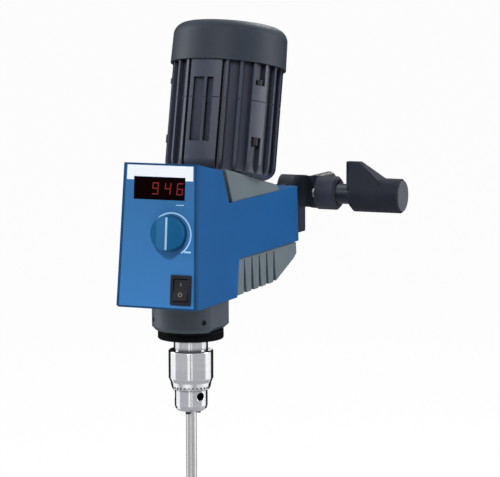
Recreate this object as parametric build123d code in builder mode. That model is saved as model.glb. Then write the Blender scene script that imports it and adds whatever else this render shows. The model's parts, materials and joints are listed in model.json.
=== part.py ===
from build123d import *
import os
from math import acos, atan2, cos, hypot, pi, radians, sin, tan

os.makedirs("parts", exist_ok=True)

# Overhead laboratory stirrer: a friction-driven gear unit on an extension arm, held by a boss head.
# Origin: centre of the boss head's jaw, on the axis of the upright stand rod that it grips.
# +Z is up and -Y is the front. Heights count up from the chuck's nose, and Y from the spindle's axis.

# ---- Stand side -------------------------------------------------------------------------------
ROD_D = 16.0  # stand rod that the jaw grips
ROD_OFFSET = 20.0  # rod axis beside the spindle axis
ROD_REACH = 177.5  # rod axis behind the spindle axis
JAW_HEIGHT = 146.7  # rod screw and extension arm above the chuck's nose
ARM_D = 13.0
ARM_LENGTH = 160.0
ARM_SEAT = 13.0  # length of the arm inside the housing
ARM_COLLAR_Y = 200.0  # centre of the collar that holds the arm
ARM_COLLAR_R = 11.5
JAW_R = 13.4
JAW_SET_BACK = 3.5  # jaw body's axis behind the rod's axis
SCREW_R = 4.0
KNOB_R = 13.6

# ---- Housing ----------------------------------------------------------------------------------
BOX_BOTTOM = 84.6
BOX_HEIGHT = 104.4
BOX_FRONT = 60.6  # lower front edge ahead of the spindle
BOX_WIDTH = 63.4  # at the bottom
SIDE_DRAFT = 1.6  # each side leans in by this angle
PANEL_TILT = 5.2
LID_SLOPE = 10.5
LID_LENGTH = 44.8
BOX_REAR = 14.0  # lower rear edge of the box
ARM_TOP = 155.9
ARM_BOTTOM = 112.8
ARM_REAR = 138.0
WALL = 3.0
PANEL_THICK = 4.0
FOIL_THICK = 0.6

# ---- Motor ------------------------------------------------------------------------------------
MOTOR_TILT = 12.0
MOTOR_SEAT_Y = 54.6  # where the motor's axis meets its seat
MOTOR_SEAT_Z = BOX_BOTTOM + BOX_HEIGHT - 19.1
MOTOR_R = 42.0
MOTOR_HEIGHT = 83.6
MOTOR_SPLIT = 55.3  # joint between the two housing halves
CAP_R = 44.0
CAP_HEIGHT = 32.0
MOTOR_EDGE = 9.0  # rounding of the motor's lower end
FIN_COUNT = 24
FIN_DEPTH = 3.5
FIN_WIDTH = 2.4
MOTOR_SHAFT_R = 4.0

# ---- Drive ------------------------------------------------------------------------------------
CONE_TIP_DEPTH = 56.0  # cone's narrow end below the motor seat
CONE_TOP_DEPTH = 10.0
CONE_TIP_R = 2.4
WHEEL_HEIGHT = 138.0  # friction wheel at rest
WHEEL_THICK = 5.0
MODULE = 1.0
TOOTH_TIP = 0.9 * MODULE  # outside the pitch line
TOOTH_ROOT = 1.15 * MODULE  # inside the pitch line
HIGH_DRIVER_TEETH = 25
HIGH_DRIVEN_TEETH = 24
LOW_DRIVER_TEETH = 10
PINION_TEETH = 10
COUNTERSHAFT_R = 3.5
BUSH_R = 5.5
BUSH_LENGTH = 6.0
BUSH_HEIGHT = 162.0  # countershaft's upper bush
BRIDGE_HEIGHT = 113.0
BRIDGE_THICK = 6.0

GEAR_PLATE_HEIGHT = 90.0
GEAR_PLATE_THICK = 3.0
GUIDE_X = 20.0
GUIDE_Y = -14.0
GUIDE_R = 2.5
POWER_BOARD_HEIGHT = 93.0
BOARD_Y = 64.0
BOARD_WIDTH = 46.0
BOARD_LENGTH = 48.0

# ---- Spindle and chuck ------------------------------------------------------------------------
SPINDLE_R = 7.5
SPINDLE_BORE = 10.5
BEARING_R = 13.0
FLANGE_R = 29.2
FLANGE_FLAT = 23.95  # half width over the side flats
FLANGE_REAR = 16.0
COLLAR_R = 19.0
COLLAR_REAR = 11.5
FLANGE_BOTTOM = 61.6
RING_R = 24.5
RING_BOTTOM = 54.6
SLEEVE_R = 16.7
CHUCK_NECK_R = 12.8
CHUCK_NOSE_R = 12.3
JAW_SLOPE = 12.0
CHUCK_JAW_R = 2.2
SHAFT_D = 8.0
SHAFT_LENGTH = 350.0
SHAFT_TOP = 60.0
IMPELLER_R = 25.0

# ---- Clearances -------------------------------------------------------------------------------
RUN = 0.05  # radial, between a shaft and the bore that it turns or slides in
SEAT = 0.02  # radial, between pieces fixed together
GAP = 0.3  # between faces that move past each other

GEAR_CENTRES = (HIGH_DRIVER_TEETH + HIGH_DRIVEN_TEETH) * MODULE / 2  # spindle to countershaft

# ---- Reference planes and axes ----------------------------------------------------------------
nose = Vector(-ROD_OFFSET, -ROD_REACH, -JAW_HEIGHT)
side = Plane(origin=nose, x_dir=(0, 1, 0), z_dir=(1, 0, 0))
front = Plane(origin=nose, x_dir=(1, 0, 0), z_dir=(0, -1, 0))
spindle_axis = Axis(nose, (0, 0, 1))
lean = radians(MOTOR_TILT)
motor = Plane(origin=nose + Vector(0, MOTOR_SEAT_Y, MOTOR_SEAT_Z), x_dir=(1, 0, 0), z_dir=(0, sin(lean), cos(lean)))
motor_cut = Plane(origin=motor.origin, x_dir=(1, 0, 0), z_dir=(0, -cos(lean), sin(lean)))
motor_axis = Axis(motor.origin, motor.z_dir)
panel_lean = radians(PANEL_TILT)
panel = Plane(
    origin=nose + Vector(0, -BOX_FRONT, BOX_BOTTOM),
    x_dir=(1, 0, 0),
    z_dir=(0, -cos(panel_lean), sin(panel_lean)),
)


def level(height, y=0.0, x=0.0):
    """Horizontal plane at a height above the chuck's nose, centred on the spindle or beside it."""
    return Plane(origin=nose + Vector(x, y, height))


def across(x, y, height):
    """Upright plane that faces +X, for pieces turned about a line from left to right."""
    return Plane(origin=nose + Vector(x, y, height), x_dir=(0, 1, 0), z_dir=(1, 0, 0))


def lengthwise(y, height=JAW_HEIGHT, x=0.0):
    """Upright plane that faces +Y, for pieces along the arm."""
    return Plane(origin=nose + Vector(x, y, height), x_dir=(-1, 0, 0), z_dir=(0, 1, 0))


def ring(plane, outer, inner, height):
    """Plain ring or bush, standing on a plane."""
    with BuildPart() as piece:
        with BuildSketch(plane):
            Circle(outer)
            Circle(inner, mode=Mode.SUBTRACT)
        extrude(amount=height)
    return piece.part


def gear_outline(teeth, bore, first_tooth=0.0):
    """Spur gear with straight-sided teeth; first_tooth is the angle of one tooth."""
    pitch_r = teeth * MODULE / 2
    root = pitch_r - TOOTH_ROOT
    tip = pitch_r + TOOTH_TIP
    half_root = 1.05 * MODULE
    half_tip = 0.33 * MODULE
    with BuildSketch() as outline:
        Circle(root)
        with PolarLocations(0, teeth, start_angle=first_tooth):
            Polygon(
                (root - 0.4, -half_root),
                (tip, -half_tip),
                (tip, half_tip),
                (root - 0.4, half_root),
                align=None,
            )
        Circle(bore, mode=Mode.SUBTRACT)
    return outline.sketch


def half_width(height):
    """Half width of the drafted housing at a height."""
    return BOX_WIDTH / 2 - (height - BOX_BOTTOM) * tan(radians(SIDE_DRAFT))


def draft_plane(hand, inset=0.0):
    """Drafted side plane of the housing; hand is +1 on the right and -1 on the left."""
    slope = radians(SIDE_DRAFT)
    edge = nose + Vector(hand * (BOX_WIDTH / 2 - inset), 0, BOX_BOTTOM)
    return Plane(origin=edge, x_dir=(0, 1, 0), z_dir=(hand * cos(slope), 0, sin(slope)))


def collar_outline(clearance):
    """D-shaped collar of the gear flange, where it passes through the box's floor."""
    with BuildSketch() as outline:
        Circle(COLLAR_R - clearance)
        with Locations((0, COLLAR_REAR - clearance - COLLAR_R)):
            Rectangle(2 * COLLAR_R, 2 * COLLAR_R, mode=Mode.INTERSECT)
    return outline.sketch


# ---- Outline of the housing, from the side ----------------------------------------------------
box_top = BOX_BOTTOM + BOX_HEIGHT
panel_top_y = -BOX_FRONT + BOX_HEIGHT * tan(panel_lean)
panel_height = BOX_HEIGHT / cos(panel_lean)
shell_front_low = -BOX_FRONT + PANEL_THICK / cos(panel_lean)
shell_front_high = panel_top_y + PANEL_THICK
lid_drop = tan(radians(LID_SLOPE))
lid_rear_y = panel_top_y + LID_LENGTH
lid_rear_z = box_top - LID_LENGTH * lid_drop
notch_foot_y = lid_rear_y + 10.1
box_rear_high = BOX_REAR + 6.0

with BuildPart() as housing_shell:
    with BuildSketch(side):
        with BuildLine():
            Polyline(
                (shell_front_low, BOX_BOTTOM),
                (shell_front_high, box_top - PANEL_THICK * lid_drop),
                (lid_rear_y, lid_rear_z),
                (notch_foot_y, ARM_TOP),
                (ARM_REAR, ARM_TOP),
                (ARM_REAR, ARM_BOTTOM),
                (box_rear_high, ARM_BOTTOM),
                (BOX_REAR, BOX_BOTTOM),
                close=True,
            )
        make_face()
    extrude(amount=BOX_WIDTH / 2, both=True)
    for hand in (1, -1):
        split(bisect_by=draft_plane(hand), keep=Keep.BOTTOM)
    front_face = housing_shell.faces().sort_by(Axis.Y)[0]
    box_back, arm_underside = housing_shell.faces().sort_by(Axis.Z)[1:3]
    offset(amount=-WALL, openings=[front_face, box_back, arm_underside])
    wedge_window_y = (BOX_REAR + 2.0, 94.0)
    with BuildSketch(level(ARM_TOP, (wedge_window_y[0] + wedge_window_y[1]) / 2)):
        Rectangle(48, wedge_window_y[1] - wedge_window_y[0])
    extrude(amount=-WALL * 1.5, mode=Mode.SUBTRACT)
    with BuildSketch(lengthwise(ARM_REAR - ARM_SEAT - WALL)):
        with Locations((0, -0.4)):
            Rectangle(24, 2 * (ARM_TOP - JAW_HEIGHT) - 0.8)
    extrude(amount=ARM_SEAT + WALL)
    with BuildSketch(lengthwise(ARM_REAR - ARM_SEAT)):
        Circle(ARM_D / 2 + SEAT)
    extrude(amount=ARM_SEAT + 1, mode=Mode.SUBTRACT)
    with BuildSketch(level(BOX_BOTTOM)):
        add(collar_outline(0))
    extrude(amount=WALL + 1, mode=Mode.SUBTRACT)
housing_shell.part.label = "housing_shell"
export_step(housing_shell.part, "parts/housing_shell.step")

# ---- Wedge between the arm and the leaning motor ----------------------------------------------
seat_slope = tan(lean)
wedge_front_y = 1.0
wedge_foot_y = 12.0
wedge_tip_y = 97.0
wedge_rear_y = 102.0
wedge_cavity_end = 90.0
WEDGE_WALL = 3.5
WEDGE_INSET = 0.6  # sides of the wedge, inside the housing's


def seat_height(y):
    """Height of the sloping motor seat."""
    return MOTOR_SEAT_Z - SEAT - (y - MOTOR_SEAT_Y) * seat_slope


with BuildPart() as motor_base:
    with BuildSketch(side):
        with BuildLine():
            Polyline(
                (wedge_foot_y, ARM_TOP),
                (wedge_front_y, seat_height(wedge_front_y)),
                (wedge_tip_y, seat_height(wedge_tip_y)),
                (wedge_rear_y, ARM_TOP + 1.8),
                (wedge_rear_y, ARM_TOP),
                close=True,
            )
        make_face()
    extrude(amount=BOX_WIDTH / 2, both=True)
    for hand in (1, -1):
        split(bisect_by=draft_plane(hand, WEDGE_INSET), keep=Keep.BOTTOM)
    with BuildSketch(side):
        with BuildLine():
            Polyline(
                (wedge_foot_y + WEDGE_WALL, ARM_TOP),
                (wedge_front_y + 1.6 * WEDGE_WALL, seat_height(wedge_front_y) - 2 * WEDGE_WALL),
                (wedge_front_y + 2.0 * WEDGE_WALL, seat_height(wedge_front_y) - 1.6 * WEDGE_WALL),
                (wedge_cavity_end, seat_height(wedge_cavity_end) - WEDGE_WALL),
                (wedge_cavity_end, ARM_TOP),
                close=True,
            )
        make_face()
    extrude(amount=half_width(seat_height(0)) - WEDGE_INSET - WEDGE_WALL, both=True, mode=Mode.SUBTRACT)
    boss_top = seat_height(GEAR_CENTRES + BUSH_R + 2.5) - 0.5
    with BuildSketch(level(BUSH_HEIGHT, GEAR_CENTRES)):
        Circle(BUSH_R + 2.5)
    extrude(amount=boss_top - BUSH_HEIGHT)
    with BuildSketch(level(BUSH_HEIGHT, GEAR_CENTRES)):
        Circle(BUSH_R + SEAT)
    extrude(amount=BUSH_LENGTH, mode=Mode.SUBTRACT)
    with BuildSketch(motor):
        Circle(MOTOR_SHAFT_R + 2)
    extrude(amount=-WEDGE_WALL * 2, mode=Mode.SUBTRACT)
motor_base.part.label = "motor_base"
export_step(motor_base.part, "parts/motor_base.step")

STRIP_RECESS = 1.5
notch_lean = (notch_foot_y - lid_rear_y) / (lid_rear_z - ARM_TOP)
wedge_lean = (wedge_foot_y - wedge_front_y) / (seat_height(wedge_front_y) - ARM_TOP)
strip_top = lid_rear_z - STRIP_RECESS
with BuildPart() as motor_base_seal:
    with BuildSketch(side):
        with BuildLine():
            Polyline(
                (notch_foot_y, ARM_TOP),
                (lid_rear_y + STRIP_RECESS * notch_lean, strip_top),
                (wedge_front_y + (seat_height(wedge_front_y) - strip_top) * wedge_lean, strip_top),
                (wedge_foot_y, ARM_TOP),
                close=True,
            )
        make_face()
    extrude(amount=half_width(ARM_TOP) - STRIP_RECESS - 1.0, both=True)
motor_base_seal.part.label = "motor_base_seal"
export_step(motor_base_seal.part, "parts/motor_base_seal.step")

# ---- Ribbed cowl under the arm ----------------------------------------------------------------
COWL_WALL = 4.0
COWL_BOTTOM = 85.6
COWL_TOP = ARM_BOTTOM
cowl_flat_end = 90.0
cowl_heel = 128.0
cowl_rear = 134.0
FLUTE_COUNT = 5
FLUTE_PITCH = 14.4
FLUTE_START = 30.7
FLUTE_DEPTH = 2.0
SHADOW_LINE = 0.9  # step under the arm's lower edge

with BuildPart() as ribbed_cowl:
    with BuildSketch(side):
        with BuildLine():
            Polyline(
                (box_rear_high + GAP, COWL_TOP),
                (BOX_REAR + 1.0, COWL_BOTTOM),
                (cowl_flat_end, COWL_BOTTOM + 1.2),
                (cowl_heel, 100.0),
                (cowl_rear, 103.4),
                (cowl_rear, COWL_TOP),
                close=True,
            )
        make_face()
    extrude(amount=BOX_WIDTH / 2, both=True)
    for hand in (1, -1):
        split(bisect_by=draft_plane(hand, WEDGE_INSET), keep=Keep.BOTTOM)
    offset(
        amount=-COWL_WALL,
        openings=[ribbed_cowl.faces().sort_by(Axis.Z)[-1], ribbed_cowl.faces().sort_by(Axis.Y)[0]],
    )
    with BuildSketch(level(COWL_BOTTOM + COWL_WALL - 1, BOARD_Y)):
        with GridLocations(BOARD_WIDTH - 8, BOARD_LENGTH - 8, 2, 2):
            Circle(2.5)
    extrude(amount=POWER_BOARD_HEIGHT - COWL_BOTTOM - COWL_WALL + 1)
    for hand in (1, -1):
        with BuildSketch(across(hand * (half_width(COWL_BOTTOM) - WEDGE_INSET - FLUTE_DEPTH), 0, 0)):
            for index in range(FLUTE_COUNT):
                middle = FLUTE_START + index * FLUTE_PITCH
                Polygon(
                    (middle - 3.2, COWL_BOTTOM - 1),
                    (middle + 3.2, COWL_BOTTOM - 1),
                    (middle + 0.8, COWL_TOP - 2),
                    (middle - 0.8, COWL_TOP - 2),
                    align=None,
                )
        extrude(amount=hand * 6, mode=Mode.SUBTRACT)
        with BuildSketch(across(hand * (half_width(COWL_TOP) - WEDGE_INSET - SHADOW_LINE), 0, 0)):
            with Locations(((BOX_REAR + cowl_rear) / 2, COWL_TOP)):
                Rectangle(cowl_rear - BOX_REAR + 10, 2 * SHADOW_LINE)
        extrude(amount=hand * 6, mode=Mode.SUBTRACT)
    with BuildSketch(side):
        for index in range(FLUTE_COUNT):
            with Locations((FLUTE_START + index * FLUTE_PITCH, COWL_BOTTOM - 3.4)):
                Circle(4.8)
    extrude(amount=BOX_WIDTH, both=True, mode=Mode.SUBTRACT)
ribbed_cowl.part.label = "ribbed_cowl"
export_step(ribbed_cowl.part, "parts/ribbed_cowl.step")

# ---- Front panel ------------------------------------------------------------------------------
PANEL_EDGE = 1.2
FOIL_MARGIN = 2.0
WINDOW_LEFT = -20.4
WINDOW_RIGHT = 20.0
WINDOW_LOW = 78.7
WINDOW_HIGH = 95.0
KNOB_X = 9.5
KNOB_UP = 55.0
KNOB_SHAFT_R = 3.0
SWITCH_X = 19.4
SWITCH_UP = 14.5
SWITCH_WIDTH = 16.4
SWITCH_HEIGHT = 21.7
SWITCH_LIP = 1.6
panel_half_top = half_width(box_top)
window_width = WINDOW_RIGHT - WINDOW_LEFT
window_height = WINDOW_HIGH - WINDOW_LOW
window_x = (WINDOW_LEFT + WINDOW_RIGHT) / 2
window_up = (WINDOW_LOW + WINDOW_HIGH) / 2


def panel_face(margin, margin_low):
    """Tapered face of the panel, inset by a margin."""
    low = BOX_WIDTH / 2 - margin
    high = panel_half_top - margin
    with BuildSketch() as outline:
        Polygon(
            (-low, margin_low),
            (low, margin_low),
            (high, panel_height - margin_low),
            (-high, panel_height - margin_low),
            align=None,
        )
    return outline.sketch


with BuildPart() as front_panel:
    with BuildSketch(panel):
        add(panel_face(0, 0))
    extrude(amount=-PANEL_THICK)
    chamfer(front_panel.faces().sort_by(Axis.Y)[0].edges(), length=PANEL_EDGE)
    with BuildSketch(panel):
        add(panel_face(FOIL_MARGIN, 1.4))
    extrude(amount=-FOIL_THICK, mode=Mode.SUBTRACT)
    with BuildSketch(panel):
        with Locations((window_x, window_up)):
            Rectangle(window_width - 4, window_height - 4)
        with Locations((KNOB_X, KNOB_UP)):
            Circle(KNOB_SHAFT_R + 1)
        with Locations((SWITCH_X, SWITCH_UP)):
            Rectangle(SWITCH_WIDTH - 2 * SWITCH_LIP, SWITCH_HEIGHT - 2 * SWITCH_LIP)
    extrude(amount=-PANEL_THICK, mode=Mode.SUBTRACT)
front_panel.part.label = "front_panel"
export_step(front_panel.part, "parts/front_panel.step")

foil_plane = panel.offset(-FOIL_THICK)
with BuildPart() as panel_foil:
    with BuildSketch(foil_plane):
        add(panel_face(FOIL_MARGIN + SEAT, 1.4 + SEAT))
        with Locations((window_x, window_up)):
            Rectangle(window_width, window_height, mode=Mode.SUBTRACT)
        with Locations((KNOB_X, KNOB_UP)):
            Circle(KNOB_SHAFT_R + 1, mode=Mode.SUBTRACT)
        with Locations((SWITCH_X, SWITCH_UP)):
            Rectangle(
                SWITCH_WIDTH - 2 * SWITCH_LIP,
                SWITCH_HEIGHT - 2 * SWITCH_LIP,
                mode=Mode.SUBTRACT,
            )
    extrude(amount=FOIL_THICK - SEAT)
panel_foil.part.label = "panel_foil"
export_step(panel_foil.part, "parts/panel_foil.step")

with BuildPart() as display_window:
    with BuildSketch(foil_plane):
        with Locations((window_x, window_up)):
            Rectangle(window_width - 2 * SEAT, window_height - 2 * SEAT)
    extrude(amount=FOIL_THICK)
display_window.part.label = "display_window"
export_step(display_window.part, "parts/display_window.step")

DIGIT_MODULE_DEPTH = 5.0
BOARD_DEPTH = 10.0  # circuit board behind the panel's face
with BuildPart() as display_module:
    with BuildSketch(panel.offset(-BOARD_DEPTH)):
        with Locations((window_x, window_up)):
            Rectangle(window_width - 5, window_height - 5)
    extrude(amount=DIGIT_MODULE_DEPTH)
display_module.part.label = "display_module"
export_step(display_module.part, "parts/display_module.step")

with BuildPart() as display_board:
    with BuildSketch(panel.offset(-BOARD_DEPTH)):
        with Locations((0, 69.5)):
            Rectangle(48, 54)
        with Locations((KNOB_X, KNOB_UP)):
            Circle(KNOB_SHAFT_R + 1, mode=Mode.SUBTRACT)
    extrude(amount=-1.6)
    with BuildSketch(panel.offset(-BOARD_DEPTH)):
        with Locations((-21, 50), (-21, 88)):
            Circle(2.5)
    extrude(amount=BOARD_DEPTH - PANEL_THICK)
display_board.part.label = "display_board"
export_step(display_board.part, "parts/display_board.step")

# ---- Power switch -----------------------------------------------------------------------------
SWITCH_DEPTH = 16.0
SWITCH_PROUD = 1.4
rocker_width = SWITCH_WIDTH - 2 * SWITCH_LIP - 2.4
rocker_length = SWITCH_HEIGHT - 2 * SWITCH_LIP - 3.0
ROCKER_ANGLE = 7.0  # half of the rocker's travel
rocker_pivot = panel.origin + panel.x_dir * SWITCH_X + panel.y_dir * SWITCH_UP

with BuildPart() as switch_frame:
    with BuildSketch(panel):
        with Locations((SWITCH_X, SWITCH_UP)):
            RectangleRounded(SWITCH_WIDTH, SWITCH_HEIGHT, 1.0)
    extrude(amount=SWITCH_PROUD)
    chamfer(switch_frame.faces().sort_by(Axis.Y)[0].edges(), length=0.5)
    with BuildSketch(panel):
        with Locations((SWITCH_X, SWITCH_UP)):
            Rectangle(
                SWITCH_WIDTH - 2 * (SWITCH_LIP + SEAT),
                SWITCH_HEIGHT - 2 * (SWITCH_LIP + SEAT),
            )
    extrude(amount=-SWITCH_DEPTH)
    with BuildSketch(panel.offset(SWITCH_PROUD)):
        with Locations((SWITCH_X, SWITCH_UP)):
            Rectangle(rocker_width + 2 * GAP, rocker_length + 4 * GAP)
    extrude(amount=-SWITCH_DEPTH + 2, mode=Mode.SUBTRACT)
switch_frame.part.label = "switch_frame"
export_step(switch_frame.part, "parts/switch_frame.step")

with BuildPart() as power_rocker:
    rocker_side = Plane(
        origin=rocker_pivot - Vector(rocker_width / 2, 0, 0),
        x_dir=panel.y_dir,
        z_dir=panel.x_dir,
    )
    half = rocker_length / 2
    rise = half * tan(radians(ROCKER_ANGLE))
    with BuildSketch(rocker_side):
        with BuildLine():
            Polyline(
                (-half, SWITCH_PROUD + rise),
                (0, SWITCH_PROUD - 0.4),
                (half, SWITCH_PROUD - rise),
                (half - 1.0, -3.5),
                (0, -7.0),
                (-half + 1.0, -3.5),
                close=True,
            )
        make_face()
    extrude(amount=rocker_width)
power_rocker.part.label = "power_rocker"
export_step(power_rocker.part, "parts/power_rocker.step")

# ---- Speed knob -------------------------------------------------------------------------------
DIAL_R = 13.2
DIAL_THICK = 6.5
RIDGE_RISE = 2.8
RIDGE_X = 1.2  # ridge of the grip, beside the knob's axis
RIDGE_FLAT = 1.3  # half width of the ridge's top
RIDGE_FOOT = 8.0  # half width of the grip
KNOB_LIFT = 0.6  # gap between the knob and the foil
POINTER_WIDTH = 1.6
POINTER_DEEP = 0.5
pinion_r = PINION_TEETH * MODULE / 2
RACK_X = KNOB_X + pinion_r  # pitch line of the rack
pinion_depth = 16.0  # pinion's front face behind the panel's face
PINION_WIDTH = 5.0
knob_plane = Plane(
    origin=panel.origin + panel.x_dir * KNOB_X + panel.y_dir * KNOB_UP,
    x_dir=panel.x_dir,
    z_dir=panel.z_dir,
)

knob_face = KNOB_LIFT + DIAL_THICK
ridge_plane = Plane(
    origin=knob_plane.origin + panel.y_dir * DIAL_R,
    x_dir=panel.x_dir,
    z_dir=-panel.y_dir,
)

with BuildPart() as grip_ridge:
    with BuildSketch(ridge_plane):
        Polygon(
            (-RIDGE_FOOT, knob_face - 1),
            (-RIDGE_FOOT, knob_face),
            (RIDGE_X - RIDGE_FLAT, knob_face + RIDGE_RISE),
            (RIDGE_X + RIDGE_FLAT, knob_face + RIDGE_RISE),
            (RIDGE_FOOT + RIDGE_X, knob_face),
            (RIDGE_FOOT + RIDGE_X, knob_face - 1),
            align=None,
        )
    extrude(amount=2 * DIAL_R)
    with BuildSketch(knob_plane):
        Circle(DIAL_R - 0.8)
    extrude(amount=knob_face + RIDGE_RISE, mode=Mode.INTERSECT)

with BuildPart() as speed_knob:
    with BuildSketch(knob_plane.offset(KNOB_LIFT)):
        Circle(DIAL_R)
    extrude(amount=DIAL_THICK, taper=2)
    fillet(speed_knob.faces().sort_by(Axis.Y)[0].edges(), radius=0.6)
    add(grip_ridge.part)
    with BuildSketch(knob_plane.offset(KNOB_LIFT)):
        Circle(KNOB_SHAFT_R + SEAT)
    extrude(amount=DIAL_THICK + 1, mode=Mode.SUBTRACT)
    with BuildSketch(knob_plane.offset(knob_face + RIDGE_RISE)):
        with Locations((RIDGE_X, 0)):
            Rectangle(POINTER_WIDTH, 2 * DIAL_R - 3)
    extrude(amount=-POINTER_DEEP, mode=Mode.SUBTRACT)
speed_knob.part.label = "speed_knob"
export_step(speed_knob.part, "parts/speed_knob.step")

with BuildPart() as knob_pointer:
    with BuildSketch(knob_plane.offset(knob_face + RIDGE_RISE - POINTER_DEEP)):
        with Locations((RIDGE_X, 0)):
            Rectangle(POINTER_WIDTH - 2 * SEAT, 2 * DIAL_R - 3 - 2 * SEAT)
    extrude(amount=POINTER_DEEP + 0.1)
knob_pointer.part.label = "knob_pointer"
export_step(knob_pointer.part, "parts/knob_pointer.step")

with BuildPart() as speed_pinion:
    with BuildSketch(knob_plane.offset(-pinion_depth)):
        add(gear_outline(PINION_TEETH, 1.0))
        Circle(1.1)
    extrude(amount=-PINION_WIDTH)
    with BuildSketch(knob_plane.offset(-pinion_depth)):
        Circle(KNOB_SHAFT_R)
    extrude(amount=pinion_depth + knob_face + 1)
speed_pinion.part.label = "speed_pinion"
export_step(speed_pinion.part, "parts/speed_pinion.step")

# ---- Gearbox frame ----------------------------------------------------------------------------
SET_SCREW_ANGLES = (-46.5, -136.5)
SET_SCREW_HEIGHT = 70.0
SET_SCREW_R = 1.9
SET_SCREW_DEPTH = 2.5
SPIGOT_R = 18.0  # lower spigot that the range ring turns on
FLANGE_CHAMFER = 3.0
BEARING_LOW = 66.0  # underside of the lower spindle bearing
BEARING_HEIGHT = 6.0
flange_height = BOX_BOTTOM - FLANGE_BOTTOM

with BuildPart() as gear_flange:
    with BuildSketch(level(FLANGE_BOTTOM)):
        Circle(FLANGE_R)
        with Locations((0, FLANGE_REAR - FLANGE_R)):
            Rectangle(2 * FLANGE_FLAT, 2 * FLANGE_R, mode=Mode.INTERSECT)
    extrude(amount=flange_height)
    chamfer(gear_flange.faces().sort_by(Axis.Z)[0].edges(), length=FLANGE_CHAMFER)
    with BuildSketch(level(BOX_BOTTOM)):
        add(collar_outline(SEAT))
    extrude(amount=GEAR_PLATE_HEIGHT - BOX_BOTTOM)
    with BuildSketch(level(RING_BOTTOM + GAP)):
        Circle(SPIGOT_R)
    extrude(amount=FLANGE_BOTTOM - RING_BOTTOM - GAP)
    with BuildSketch(level(BEARING_LOW)):
        Circle(BEARING_R + SEAT)
    extrude(amount=BOX_BOTTOM - 2 - BEARING_LOW, mode=Mode.SUBTRACT)
    with BuildSketch(level(BEARING_LOW)):
        Circle(SPINDLE_R + 1.5)
    extrude(amount=GEAR_PLATE_HEIGHT - BEARING_LOW, mode=Mode.SUBTRACT)
    with BuildSketch(level(RING_BOTTOM)):
        Circle(CHUCK_NECK_R + 0.7)
    extrude(amount=6, mode=Mode.SUBTRACT)
    with BuildSketch(level(RING_BOTTOM)):
        Circle(SPINDLE_R + 2.5)
    extrude(amount=BEARING_LOW - RING_BOTTOM, mode=Mode.SUBTRACT)
    for angle in SET_SCREW_ANGLES:
        outward = (cos(radians(angle)), sin(radians(angle)), 0)
        set_screw_hole = Plane(origin=nose + Vector(0, 0, SET_SCREW_HEIGHT), z_dir=outward)
        with BuildSketch(set_screw_hole.offset(FLANGE_R - SET_SCREW_DEPTH)):
            Circle(SET_SCREW_R)
        extrude(amount=2 * SET_SCREW_DEPTH, mode=Mode.SUBTRACT)
gear_flange.part.label = "gear_flange"
export_step(gear_flange.part, "parts/gear_flange.step")

with BuildPart() as gear_plate:
    with BuildSketch(level(GEAR_PLATE_HEIGHT)):
        with Locations((0, (GEAR_CENTRES + 10 - 22) / 2)):
            Rectangle(2 * (half_width(GEAR_PLATE_HEIGHT) - WALL - 2.2), GEAR_CENTRES + 32)
        Circle(SPINDLE_R + 1.5, mode=Mode.SUBTRACT)
        with Locations((0, GEAR_CENTRES)):
            Circle(BUSH_R + SEAT, mode=Mode.SUBTRACT)
    extrude(amount=GEAR_PLATE_THICK)
    with BuildSketch(level(BOX_BOTTOM + WALL)):
        with GridLocations(44, 22, 2, 2):
            Circle(3.0)
    extrude(amount=GEAR_PLATE_HEIGHT - BOX_BOTTOM - WALL)
gear_plate.part.label = "gear_plate"
export_step(gear_plate.part, "parts/gear_plate.step")

BRIDGE_FRONT = -22.0
BRIDGE_REAR = 40.0
with BuildPart() as bearing_bridge:
    with BuildSketch(level(BRIDGE_HEIGHT)):
        with Locations((0, (BRIDGE_FRONT + BRIDGE_REAR) / 2)):
            Rectangle(2 * (half_width(BRIDGE_HEIGHT + BRIDGE_THICK) - WALL), BRIDGE_REAR - BRIDGE_FRONT)
        Circle(BEARING_R + SEAT, mode=Mode.SUBTRACT)
        with Locations((0, GEAR_CENTRES)):
            Circle(COUNTERSHAFT_R + 1, mode=Mode.SUBTRACT)
        with Locations((GUIDE_X, GUIDE_Y)):
            Circle(GUIDE_R + SEAT, mode=Mode.SUBTRACT)
    extrude(amount=BRIDGE_THICK)
bearing_bridge.part.label = "bearing_bridge"
export_step(bearing_bridge.part, "parts/bearing_bridge.step")

with BuildPart() as spindle_bearings:
    for height in (BEARING_LOW, BRIDGE_HEIGHT):
        add(ring(level(height), BEARING_R, SPINDLE_R + RUN, BEARING_HEIGHT))
spindle_bearings.part.label = "spindle_bearings"
export_step(spindle_bearings.part, "parts/spindle_bearings.step")

with BuildPart() as countershaft_bushes:
    for height, length in ((GEAR_PLATE_HEIGHT, GEAR_PLATE_THICK), (BUSH_HEIGHT, BUSH_LENGTH)):
        add(ring(level(height, GEAR_CENTRES), BUSH_R, COUNTERSHAFT_R + RUN, length))
countershaft_bushes.part.label = "countershaft_bushes"
export_step(countershaft_bushes.part, "parts/countershaft_bushes.step")

GUIDE_TOP = 172.0
with BuildPart() as guide_rod:
    with BuildSketch(level(BRIDGE_HEIGHT, GUIDE_Y, GUIDE_X)):
        Circle(GUIDE_R)
    extrude(amount=GUIDE_TOP - BRIDGE_HEIGHT)
guide_rod.part.label = "guide_rod"
export_step(guide_rod.part, "parts/guide_rod.step")

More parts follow.
